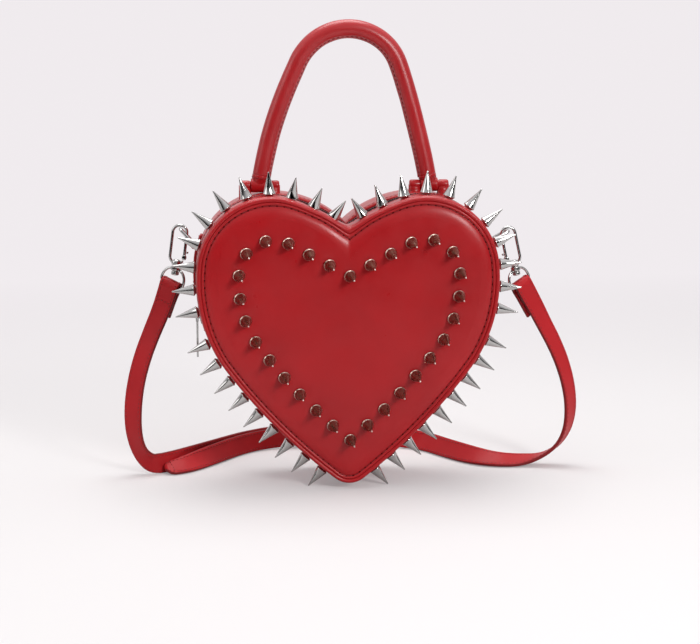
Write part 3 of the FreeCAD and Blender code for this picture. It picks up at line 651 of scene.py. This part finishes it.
panel_rim = [(2.9, 3.2), (2.85, 2.2), (3.0, 1.5), (3.4, 1.0), (3.95, 0.8), (4.5, 0.95), (4.95, 1.4), (5.35, 1.75),
             (5.8, 1.5), (6.4, 1.1), (7.3, 0.68), (8.5, 0.26), (10.0, -0.1), (12.0, -0.38), (14.0, -0.56)]
front_row_inset = 28.5
front_row_cleft = 150.8
front_row_steps = 15


def front_row():
    """Places of the spikes on the front panel: a straight run off the cleft, then the inset outline."""
    radius = lobe_radius - front_row_inset
    reach = hypot(lobe_centre[0], lobe_centre[1] - front_row_cleft)
    slope = atan2(lobe_centre[1] - front_row_cleft, lobe_centre[0])
    rise = degrees(slope + asin(radius / reach))
    straight = sqrt(reach ** 2 - radius ** 2)
    arcs = flank_arcs(front_row_inset)
    arcs[0] = (lobe_centre, radius, rise + 90, lobe_end_angle)
    meeting = -degrees(acos(-lower_centre[0] / arcs[-1][1]))
    arcs[-1] = arcs[-1][:3] + (meeting,)
    total = straight + sum(arc_length(arc) for arc in arcs)
    places = []
    for index in range(front_row_steps + 1):
        distance = total * index / front_row_steps
        if distance <= straight:
            point = step_from((0, front_row_cleft), rise, distance)
        else:
            point = station(arcs, distance - straight)[0]
        for side in (right,) if index in (0, front_row_steps) else (right, left):
            places.append((side * point[0], point[1]))
    return places


def fill_ring(form, ring, spacing, depth_at):
    """Covers the inside of a ring with a fine field whose depth follows a function."""
    flat = [Vector((point.x, point.z)) for point in ring]
    low_x, high_x = min(p.x for p in flat), max(p.x for p in flat)
    low_z, high_z = min(p.y for p in flat), max(p.y for p in flat)
    inner, row, z = [], 0, low_z
    while z < high_z:
        x = low_x + (spacing / 2 if row % 2 else 0)
        crossings = []
        for one, two in zip(flat, flat[1:] + flat[:1]):
            if (one.y > z) != (two.y > z):
                crossings.append(one.x + (two.x - one.x) * (z - one.y) / (two.y - one.y))
        crossings.sort()
        while x < high_x:
            for first, last in zip(crossings[::2], crossings[1::2]):
                if first + spacing * 0.6 < x < last - spacing * 0.6:
                    inner.append(Vector((x, z)))
            x += spacing
        row += 1
        z += spacing * 0.866
    near = [p for p in inner if min((p - q).length for q in flat[::2]) > spacing * 0.5]
    points, _, faces, *_ = delaunay_2d_cdt(flat + near, [], [list(range(len(flat)))], 1, 1e-6)
    form.add([depth_at(p.x, p.y) for p in points], faces)


spike_places = front_row()
rim_guide = [(point.x, point.z) for point in heart_ring(14.0, 0)][::2]


def panel(name, face, inward, spots, body, node):
    form = Form()

    def set_depth(x, z, base, share):
        soft = noise.noise(Vector((x * 0.021, z * 0.021, face))) * 0.55 + noise.noise(
            Vector((x * 0.06, z * 0.06, face + 7))) * 0.16
        return Vector((x, front_face + face + inward * (base - share * soft), z))

    rows = []
    for inset, depth in panel_rim:
        share = min(1.0, max(0.0, (inset - 5) / 9)) * 0.7
        rows.append([set_depth(p.x, p.z, depth, share) for p in heart_ring(inset, face)])
    form.lofted(rows, closed=True, round_ring=False)
    form.add(rows[0], [tuple(range(len(rows[0])))])

    def field(x, z):
        inside = min(hypot(x - spot[0], z - spot[1]) for spot in rim_guide)
        swell = 1 - exp(-inside / 9)
        dip = 0.0
        for spot in spots:
            apart = hypot(x - spot[0], z - spot[1] - stand)
            dip = max(dip, 0.75 * exp(-(apart / 5.2) ** 2))
        return set_depth(x, z, -0.56 - 0.64 * swell + dip, 0.7 + 0.3 * swell)

    fill_ring(form, rows[-1], 3.6, field)
    thread = [set_depth(p.x, p.z, 1.5, 0.03) for p in heart_ring(5.35, face)]
    for spot, way, _ in along_row(thread, 5.0, closed=True):
        form.stitch(spot, way, across_y * -inward, 3.5, 0.40)
        # After each stitch a short dark stub: painted shade for the needle hole
        form.stitch(spot + way * 2.5, way, across_y * -inward, 1.7, 0.50, mark=2)
    obj = piece(name, form, body, (red_leather, thread_red, stitch_hole_painted_shade), node)


panel("front_padded_panel", 0, 1, spike_places, "front_cover", "front_panel")
panel("back_padded_panel", bag_depth, -1, [], "bag", "back_panel")

# Rolled piping round both panels
piping_inset, piping_size = 1.52, 1.55
for name, depth, body in (("front", 2.4, "front_cover"), ("back", bag_depth - 2.4, "bag")):
    form = Form()
    turns = [2 * pi * step / 14 for step in range(14)]
    form.lofted([heart_ring(piping_inset + piping_size * cos(turn), depth + piping_size * sin(turn))
                 for turn in turns], closed=True)
    piece(name + "_rolled_piping", form, body, (red_leather,), name + "_piping")

# Gusset bands, folded at the zip and sewn along the fold

def strip(form, run, profile):
    """Strip along a run, with a closed profile of insets and depths."""
    form.lofted([run(inset, depth) for inset, depth in profile])


def sewn(form, row, up_from, pitch=3.4, length=2.4, size=0.4):
    """Row of stitches that stand off a second row."""
    for spot, way, index in along_row(row, pitch, 2.0):
        form.stitch(spot, way, (row[index] - up_from[index]).normalized(), length, size)


def level_profile(levels, inner):
    """Closed profile under the gusset's outer face: through levels, then straight back."""
    front = [(gusset_inset + drop, depth) for drop, depth in levels]
    return front + [(gusset_inset + inner, depth) for _, depth in reversed(levels)]


front_levels = [(1.0, 4.5), (0.2, 5.3), (-0.15, 7.5), (-0.2, 13), (-0.15, 18), (-0.1, 20.4), (0.25, 21.7),
                (-0.1, 22.8), (0.0, 23.8), (0.6, 24.4)]
rear_levels = [(0.6, 31.6), (0.0, 32.2), (-0.1, 33.2), (0.25, 34.3), (-0.15, 35.6), (-0.3, 40), (-0.35, 50),
               (-0.3, 60), (0.1, 66.7), (1.0, 67.5)]
for name, levels, seam, body, stuff in (("front", front_levels, 21.7, "front_cover", band_leather),
                                        ("rear", rear_levels, 34.3, "bag", red_leather)):
    form = Form()
    strip(form, upper_run, level_profile(levels, 2.0))
    sewn(form, upper_run(gusset_inset + 0.05, seam), upper_run(4, seam))
    piece(name + "_sewn_band", form, body, (stuff, thread_red), name + "_band")

form = Form()
levels = []
for step in range(29):
    share = step / 28
    edge = abs(2 * share - 1) ** 8
    levels.append((-0.3 + 1.2 * edge, 4.5 + 63.0 * share))
strip(form, lower_run, level_profile(levels, 2.0))
for column in (1, -2):
    across_row = [lower_run(gusset_inset - 0.28, depth)[column] for _, depth in levels[2:-2]]
    inner_row = [lower_run(4, depth)[column] for _, depth in levels[2:-2]]
    sewn(form, across_row, inner_row)
lower = piece("lower_soft_gusset", form, None, (red_leather, thread_red), "lower_gusset")
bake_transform(lower)

# Linings and zip tapes: thin woven cloth
for name, depth, body in (("front_lining", 5.95, "front_cover"), ("back_lining", 66.5, "bag")):
    form = Form()
    rows = [heart_ring(6.5, depth), heart_ring(6.5, depth + 0.5)]
    form.lofted(rows, closed=True, round_ring=False)
    for row in rows:
        level = row[0].y
        fill_ring(form, row, 7.0, lambda x, z: Vector(
            (x, level + 0.12 * noise.noise(Vector((x * 0.05, z * 0.05, 3))), z)))
    obj = piece(name + "_cloth", form, body, (lining_cloth,), name)

cloth_strips = [
    ("front_band_lining", upper_run, 3.45, 6.8, 23.2, "front_cover", lining_cloth, "lining", "front_band"),
    ("rear_band_lining", upper_run, 2.3, 39.7, 65.2, "bag", lining_cloth, "lining", "rear_band"),
    ("lower_gusset_lining", lower_run, 3.45, 6.8, 65.2, None, lining_cloth, "lining", "lower_gusset"),
    ("front_zip_tape", upper_run, 2.3, 16.7, 26.7, "front_cover", tape_cloth, "zip_tape", "front_band"),
    ("rear_zip_tape", upper_run, 2.3, 29.3, 39.3, "bag", tape_cloth, "zip_tape", "rear_band"),
]
for name, run, drop, first, last, body, stuff, slot_name, under in cloth_strips:
    form = Form()
    steps = 16 if run is lower_run else 6
    depths = [first + (last - first) * step / steps for step in range(steps + 1)]
    strip(form, run, level_profile([(drop, depth) for depth in depths], drop + 0.5))
    obj = piece(name + "_cloth", form, body, (stuff,), name)
    if run is lower_run:
        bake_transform(obj)
    length = row_length(run(gusset_inset + drop, first))

# Zip teeth: bent loops that reach between each other
per_degree = radians(side_radius)
coil_right = zip_end_angle + 2.9 / per_degree
coil_left = side_angle(slider_height) - 2.2 / per_degree
for name, way, body, shift in (("front", -1, "front_cover", 0.0), ("rear", 1, "bag", 0.5)):
    form = Form()
    row = upper_run(gusset_inset + 0.95, zip_depth, coil_right, coil_left)
    inner = upper_run(gusset_inset + 2.95, zip_depth, coil_right, coil_left)
    spots = along_row(row, 1.7, 0.9)
    step = (spots[1][0] - spots[0][0]).length
    for spot, along, index in spots:
        up = (row[index] - inner[index]).normalized()
        middle = spot + along * (shift * step)
        bar = [middle + across_y * (way * reach) + up * rise
               for reach, rise in ((2.45, -0.6), (2.3, 0.35), (1.6, 0.62), (0.6, 0.66), (-0.15, 0.5))]
        form.tube(bar, 0.46, along, sides=6)
    cord_row = [p + across_y * (way * 1.5) - (p - q).normalized() * 0.45 for p, q in zip(row, inner)]
    form.tube(cord_row, 0.55, across_y, sides=8)
    piece(name + "_zip_teeth", form, body, (coil_plastic,), name + "_zip_coil")

# Cone spikes, turned smooth; on the front spikes a painted highlight lightens the rim above the foot and the tip, and
# painted shade darkens the cone
spike_profile = [(2.7, 0.0), (2.75, 0.5), (3.3, 1.0), (4.1, 1.75), (4.25, 1.95), (4.27, 2.15), (4.18, 2.4),
                 (3.9, 2.85), (2.72, 7.4), (1.45, 12.2), (0.62, 15.6), (0.50, 16.45), (0.34, 16.85), (0.08, 17.0)]
spike_sides = 36
spike_leans = {left: (0.52, 0.46, 0.40, 0.16), right: (0.30, 0.16, 0.08, 0.06)}
band_row_depth = 13.0
rows = {"front_spikes": [(place(point, 0), across_y * -1) for point in spike_places]}
for name, arcs, first, pitch, count in (("upper_spikes", half_arcs(gusset_inset)[:3], 13.4, 15.4, 11),
                                        ("lower_spikes", lower_arcs(gusset_inset), 10.3, 15.06, 9)):
    rows[name] = []
    for index in range(count):
        point, angle = station(arcs, first + index * pitch)
        for side in (right, left):
            way = upright(angle, side)
            seat = point
            if name == "upper_spikes":
                seat = drawn(point, gusset_inset, band_row_depth, side)
                way.y = -(spike_leans[side][index] if index < 4 else 0.06)
            rows[name].append((place(seat, band_row_depth, side), way))
for name, seats in rows.items():
    form = Form()
    for base, way in seats:
        begin, profile = len(form.marks), list(spike_profile)
        if name == "front_spikes":
            sway = [noise.noise(base * 0.37 + Vector((shift, 0, 0))) for shift in (0, 40)]
            way = way * 17.0 + Vector((1.9 + 0.5 * sway[0], 0, -1.7 + 0.5 * sway[1]))
            profile[4:8] = [(4.27, 1.9), (4.27, 2.1), (3.82, 2.55), (3.72, 2.9)]
        form.turned(base, way, profile, spike_sides)
        if name == "front_spikes":
            # Front spike faces: rim rows take the painted highlight, cone rows the painted shade, tip rows the paler
            # painted highlight
            for number in range((len(profile) - 1) * spike_sides):
                row = number // spike_sides
                form.marks[begin + number] = 2 if row < 7 else 1 if row < 10 else 3
    obj = piece(name + "_turned", form, "front_cover", (spike_metal, painted_shade_cone_metal, painted_highlight_on_rims, painted_highlight_tip_metal), name)
    obj.data.set_sharp_from_angle(angle=radians(40))

# Handle: a rolled tube with a sewn seam along its inner side
handle_depth = 43.0
handle_radius = 6.2
handle_sides = 40
handle_top = 318.8
handle_top_radius = 38.3
handle_top_angle = 22.6
handle_leg_radius = 390.0
bar_height = 210.0
loop_rise = 6.2
top_centre = (0, handle_top - handle_top_radius)
leg_centre = step_from(top_centre, handle_top_angle, handle_top_radius - handle_leg_radius)
leg_end_angle = degrees(asin((bar_height + loop_rise - leg_centre[1]) / handle_leg_radius))
handle_arcs = [(leg_centre, handle_leg_radius, leg_end_angle, handle_top_angle),
               (top_centre, handle_top_radius, handle_top_angle, 90)]
half = [place(point, handle_depth) for point in walk(handle_arcs, (40, 30))]
# The crown leans a little to the right
crown_lean, lean_start, lean_rise = 3.0, 240, 78
handle_line = []
for point in half + [Vector((-p.x, p.y, p.z)) for p in reversed(half[:-1])]:
    handle_line.append(point + across_x * (crown_lean * ease((point.z - lean_start) / lean_rise)))
ways = [heading(handle_line, index) for index in range(len(handle_line))]
outward = [Vector((way.z, 0, -way.x)) for way in ways]


def off_middle(index, turn, size):
    """Point round the handle's middle line, from its outer side."""
    across, over = bearing(turn)
    return handle_line[index] + outward[index] * (size * across) + across_y * (size * over)


form = Form()
rings = []
for index, point in enumerate(handle_line):
    ring = []
    for corner in range(handle_sides):
        turn = 360 * corner / handle_sides
        off_seam = abs(turn - 180)
        size = handle_radius + 0.75 * exp(-(off_seam / 9) ** 2) - 0.22 * exp(-((off_seam - 24) / 8) ** 2)
        size += 0.10 * noise.noise(point * 0.09 + across_x * (corner * 0.4))
        ring.append(off_middle(index, turn, size))
    rings.append(ring)
form.skin(rings)
for seam in (159, 201):
    row = [off_middle(index, seam, handle_radius * 0.985) for index in range(len(handle_line))]
    sewn(form, row, handle_line, pitch=3.3, length=2.3, size=0.38)
obj = piece("handle_rolled_cover", form, "handle", (band_leather, thread_red), "handle_cover")

form = Form()
for strand in range(3):
    twist = [off_middle(index, index * 17 + strand * 120, 1.9) for index in range(len(handle_line))]
    form.tube(twist, 2.0, across_y, sides=10)
piece("handle_twisted_core", form, "handle", (core_cloth,), "handle_core")

# Handle loops round the cross bars, and the bars with their sewn feet
leg_end = step_from(leg_centre, leg_end_angle, handle_leg_radius)
leg_way = upright(leg_end_angle + 90)
loop_drop = (leg_end[1] - bar_height) / leg_way.z
bar_radius, bar_end_radius = 3.0, 3.45
bar_length = 28.0
bar_half = bar_length / 2
foot_length = 7.6
wrap_length = 12.0
wrap_levels = [(0.0, 5.4, 4.6), (0.25, 5.95, 5.0), (0.5, 6.1, 5.4), (0.66, 6.15, 5.8), (0.74, 6.2, 6.0),
               (0.82, 6.25, 6.15), (0.92, 6.3, 6.3), (1.05, 6.32, 6.32), (1.12, 6.2, 6.2)]


def lobe_top(x, sunk=0.0):
    """Height of the gusset's face over the lobes."""
    across = abs(x) - lobe_offset
    return lobe_centre[1] + sqrt((lobe_radius - gusset_inset - sunk) ** 2 - across ** 2) + stand


for name, side in both_sides:
    way = Vector((side * leg_way.x, 0, leg_way.z))
    middle = place(leg_end, handle_depth, side) - way * loop_drop
    slant = (across_x - way * across_x.dot(way)).normalized()
    form = Form()
    rings = [oval(middle + way * (loop_drop * share), slant, across_y, wide, deep, 32)
             for share, wide, deep in wrap_levels]
    form.skin(rings)
    form.turned(middle - across_x * (wrap_length / 2), across_x,
                both_ends([(3.1, 0.0), (4.55, 0.05), (4.9, 0.5), (4.95, 1.2)], wrap_length), 32)
    collar = rings[5] + rings[5][:1]
    inner = [middle + way * (loop_drop * 0.82)] * len(collar)
    sewn(form, collar, inner, pitch=3.0, length=2.1, size=0.34)
    obj = piece(name + "_handle_wrap", form, "handle", (red_leather, thread_red), name + "_handle_loop")

    form = Form()
    bar_end = [(1.4, 0.0), (2.6, 0.15), (3.2, 0.7), (bar_end_radius, 1.6), (bar_end_radius, 6.4), (bar_radius, 7.4)]
    form.turned(middle - across_x * bar_half, across_x, both_ends(bar_end, bar_length), 28)
    for start in (-bar_half, bar_half - foot_length):
        rings = []
        for sink, grow in ((0.0, 0.0), (0.45, 0.15), (0.75, 0.3), (0.92, 0.7), (1.0, 1.1)):
            ring = []
            for a, b in ((0, -1), (0.5, -1.08), (1, -1), (1.06, 0), (1, 1), (0.5, 1.08), (0, 1), (-0.06, 0)):
                x = middle.x + start + foot_length * a + (0.3 * grow if a > 0.9 else -0.3 * grow if a < 0.1 else 0)
                drop = (lobe_top(x, 0.6) - middle.z) * sink
                ring.append(Vector((x, middle.y + b * (2.9 + grow), middle.z + drop)))
            rings.append(ring)
        form.skin(rings)
        for spot in (1.2, 3.0, 4.8):
            x = middle.x + start + spot
            for face in (-1, 1):
                seat = Vector((x, middle.y + face * 3.15, lobe_top(x) + 1.7))
                form.stitch(seat, across_x, across_y * face, 1.4, 0.34)
    piece(name + "_rolled_bar", form, "bag", (red_leather, thread_red), name + "_handle_bar")

# Side tabs with their rings
tab_depth = 52.0
tab_angle = 16.0
tab_half = 5.2
tab_roll = 3.08
tab_axis = step_from(lobe_centre, tab_angle, lobe_radius - gusset_inset + 0.05 + tab_roll)
tab_run = [(lobe_centre, lobe_radius - gusset_inset, tab_angle + 9, lobe_end_angle),
           (side_centre, side_radius - gusset_inset, lobe_end_angle, side_angle(tab_foot_height))]
tab_length = sum(arc_length(arc) for arc in tab_run)
for name, side in both_sides:
    form = Form()
    rings = []
    for step in range(25):
        point, angle = station(tab_run, tab_length * step / 24)
        ends = 0.35 if step in (0, 24) else 0.0
        ring = []
        for y, rise in ((-1, 0.2), (-1, 1.5), (-0.93, 2.0), (0, 2.12), (0.93, 2.0), (1, 1.5), (1, 0.2), (0, 0.1)):
            lifted = step_from(point, angle, rise + 0.05 - (ends if rise > 1 else 0))
            ring.append(place(lifted, tab_depth + y * (tab_half - ends), side))
        rings.append(ring)
    form.skin(rings)
    axis = place(tab_axis, tab_depth, side)
    form.turned(axis - across_y * tab_half, across_y,
                both_ends([(1.3, 0.0), (2.7, 0.05), (3.0, 0.4), (tab_roll, 0.9)], 2 * tab_half), 24)
    for distance in (2.0, tab_length - 2.2, tab_length - 15.0):
        point, angle = station(tab_run, distance)
        row = [place(step_from(point, angle, 2.15), tab_depth + y, side) for y in (-4.4, 4.4)]
        for spot, way, _ in along_row(row, 2.8):
            form.stitch(spot, way, row[0] - place(point, tab_depth - 4.4, side), 2.0, 0.36)
    piece(name + "_leather_tab", form, "bag", (red_leather, thread_red), name + "_ring_tab")

# Clasps, drawn upright about the swivel head
clasps = {right: ((125.598, 24.5, 144.792), 12.5), left: ((120.107, 24.5, 147.740), 7.6)}
eye_tilt, eye_turn = bearing(14.0), bearing(28.0)


def on_clasp(x, y, z, side):
    (head_x, head_y, head_z), lean = clasps[side]
    level, rise = bearing(lean)
    return Vector((side * (head_x + x * level - z * rise), head_y + y, head_z + x * rise + z * level))


def clasp_line(points, side):
    return [on_clasp(x, 0, z, side) for x, z in points]


hook_half, hook_top, pivot_height = 5.0, 35.6, 11.7
hook_wire, eye_wire, ring_wire = 1.08, 0.98, 1.05
hook_path = [(-4.1, 9.0)] + [step_from((0, 11.9), angle, hook_half) for angle in range(215, 361, 12)]
hook_path += [(hook_half, 17), (hook_half, 23)]
hook_path += [step_from((0, 29.3), angle, hook_half) for angle in range(0, 181, 12)]
hook_path += [(-hook_half, height) for height in (26.5, 24.6, 24.0)]
eye_half, eye_drop = 9.2, 9.0
eye_corners = [(0.30, 0.36), (0.70, 0.17), (0.98, -0.28), (1, -1)]
eye_corners += [(-a, b) for a, b in reversed(eye_corners)]
for name, side in both_sides:
    head = on_clasp(0, 0, 0, side)
    clasp_up = (on_clasp(0, 0, 1, side) - head).normalized()
    out = (on_clasp(-1, 0, 0, side) - head).normalized()
    form = Form()
    form.tube(clasp_line(hook_path, side), lambda share: hook_wire - max(0.0, share - 0.93) * 4.0, across_y, sides=16,
              squeeze=1.3)
    form.turned(head - clasp_up * 1.4, clasp_up,
                [(0.8, 0.0), (2.3, 0.0), (2.75, 0.35), (2.8, 0.7), (2.8, 2.1), (2.75, 2.45), (2.3, 2.8), (1.9, 2.85),
                 (1.9, 6.6), (2.9, 6.95), (3.4, 7.6), (3.4, 9.4), (2.8, 10.6), (1.6, 11.3), (0.6, 11.4)], 28)
    for face in (-1.7, 0.95):
        form.turned(on_clasp(-hook_half, face, pivot_height, side), across_y,
                    both_ends([(1.4, 0), (1.75, 0.12)], 0.75), 20)
    piece(name + "_snap_hook", form, name + "_clasp", (bright_metal,), name + "_hook")

    form = Form()
    form.tube(clasp_line([(-hook_half, height) for height in (11.0, 13, 18, 22.6, 23.5)], side),
              lambda share: 1.05 if share < 0.8 else 0.95, across_y, sides=14, squeeze=0.84)
    form.turned(on_clasp(-5.4, 0, 15.5, side), out,
                [(0.6, 0.0), (0.6, 0.7), (0.9, 1.0), (0.95, 1.5), (0.75, 2.0), (0.3, 2.25)], 16)
    form.turned(on_clasp(-hook_half, -0.9, pivot_height, side), across_y, both_ends([(0.86, 0), (1.5, 0.05)], 1.8), 20)
    piece(name + "_sprung_gate", form, name + "_gate", (bright_metal,), name + "_gate")

    form = Form()
    bent = []
    for x, z in [(a * eye_half, b * eye_drop) for a, b in eye_corners]:
        reach = x * eye_tilt[0] - z * eye_tilt[1]
        bent.append(on_clasp(reach * eye_turn[0], reach * eye_turn[1], x * eye_tilt[1] + z * eye_tilt[0], side))
    form.tube(rounded(bent, 3.4), eye_wire, across_y, sides=14)
    form.turned(head, clasp_up, [(1.98, 1.72), (2.9, 1.72), (3.35, 2.1), (3.4, 2.6), (3.4, 4.2), (3.35, 4.7),
                                 (2.9, 5.1), (1.98, 5.1)], 28)
    piece(name + "_wire_eye", form, "bag", (bright_metal,), name + "_eye")

    form = Form()
    axis = place(tab_axis, tab_depth, side)
    tip = on_clasp(0, 0, hook_top - 2.6 - 1.28, side)
    corners = [axis - across_y * 7.0, axis + across_y * 7.0, tip + across_y * 5.0, tip - across_y * 5.0]
    normal = (tip - axis).cross(across_y).normalized()
    form.tube(rounded(corners, 2.2, closed=True), ring_wire, normal, closed=True, sides=16)
    piece(name + "_wire_ring", form, name + "_ring", (bright_metal,), name + "_ring")

# Floor and backdrop: lit by the lamps near the purse, and pale further back for the camera and in reflections
form = Form()
sweep = [(1500 + 700 * bearing(angle)[1], 700 - 700 * bearing(angle)[0]) for angle in range(0, 91, 6)]
form.skin([[Vector((x, y, z)) for x in (-3500, 3500)] for y, z in [(-900, 0)] + sweep + [(2200, 3500)]],
          round_ring=False, caps=False)
floor = shown("floor", smooth_mesh("floor", form))
floor_grey = (0.55, 0.54, 0.54)
stuff, tree, surface = shader("floor", floor_grey, 0.1, roughness=0.7)
seen = add_node(tree, "LightPath").outputs
tone = add_node(tree, "Mix")
tone.data_type = "RGBA"
fill(tone, a=(*floor_grey, 1), b=(0.72, 0.70, 0.69, 1))
link(seen["Is Camera Ray"], tone.inputs["Factor"])
link(tone.outputs["Result"], surface.inputs["Base Color"])
glow = add_node(tree, "Emission", color=(0.888, 0.847, 0.871, 1))
parts = add_node(tree, "SeparateXYZ")
link(add_node(tree, "TexCoord").outputs["Object"], parts.inputs["Vector"])
shares = []
for ray, near, far, start, end in (("Is Camera Ray", 0.26, 0.96, 0.15, 1.1), ("Is Glossy Ray", 0.0, 0.9, 0.0, 0.5)):
    shares.append(combine("MULTIPLY", seen[ray], spread(parts.outputs["Y"], near, far, start, end)))
blend = add_node(tree, "MixShader")
link(combine("ADD", *shares), blend.inputs["Fac"])
link(surface.outputs["BSDF"], blend.inputs[1])
link(glow.outputs["Emission"], blend.inputs[2])
link(blend.outputs["Shader"], tree.nodes["Material Output"].inputs["Surface"])
floor.data.materials.append(stuff)

# Surroundings: dim in front of the purse, bright above and behind it, and even for the camera
world = bpy.data.worlds.new("world")
scene.world = world
world.use_nodes = True
tree = world.node_tree
parts = add_node(tree, "SeparateXYZ")
link(add_node(tree, "TexCoord").outputs["Generated"], parts.inputs["Vector"])
total = combine("ADD", spread(parts.outputs["Y"], 0.05, 0.45, -0.6, 0.7),
                spread(parts.outputs["Z"], -0.05, 0.75, 0.1, 0.7))
pale = add_node(tree, "Mix", b=0.86)
link(add_node(tree, "LightPath").outputs["Is Camera Ray"], pale.inputs["Factor"])
link(total, pale.inputs["A"])
sky = fill(tree.nodes["Background"], color=(0.97, 0.97, 1.0, 1))
link(pale.outputs["Result"], sky.inputs["Strength"])

# Lamps: place, aim, power and size
for name, place_at, aim, power, size in (("key_light", (0.78, -1.28, 0.74), (0, 0, 0.12), 13.2, 0.42),
                                         ("fill_light", (-1.3, -0.35, 0.75), (0, 0, 0.12), 3.4, 0.9),
                                         ("top_light", (0.0, 0.30, 1.5), (0, 0, 0.15), 12.5, 1.0)):
    lamp = bpy.data.lights.new(name, "AREA")
    lamp.shape = "DISK"
    lamp.size = size
    lamp.energy = power
    obj = shown(name, lamp)
    obj.location = place_at
    obj.rotation_euler = (Vector(aim) - Vector(place_at)).to_track_quat("-Z", "Y").to_euler()

# Plain looks for the nodes that keep their solid
looks = dict(red_leather=red_leather, strap_leather=strap_leather, board=board_stuff, lining=lining_cloth,
             zip_tape=tape_cloth, zip_coil=coil_plastic, handle_filling=core_cloth, spike_metal=spike_metal,
             polished_metal=bright_metal)
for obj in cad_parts.values():
    for slot_used in obj.material_slots:
        key = slot_used.material.name.split(".")[0] if slot_used.material else ""
        slot_used.material = looks.get(key, red_leather)
    if key in ("polished_metal", "spike_metal"):
        soften = obj.modifiers.new("soft_edges", "BEVEL")
        soften.width = 0.25 * MM
        soften.segments = 2
        soften.limit_method = "ANGLE"
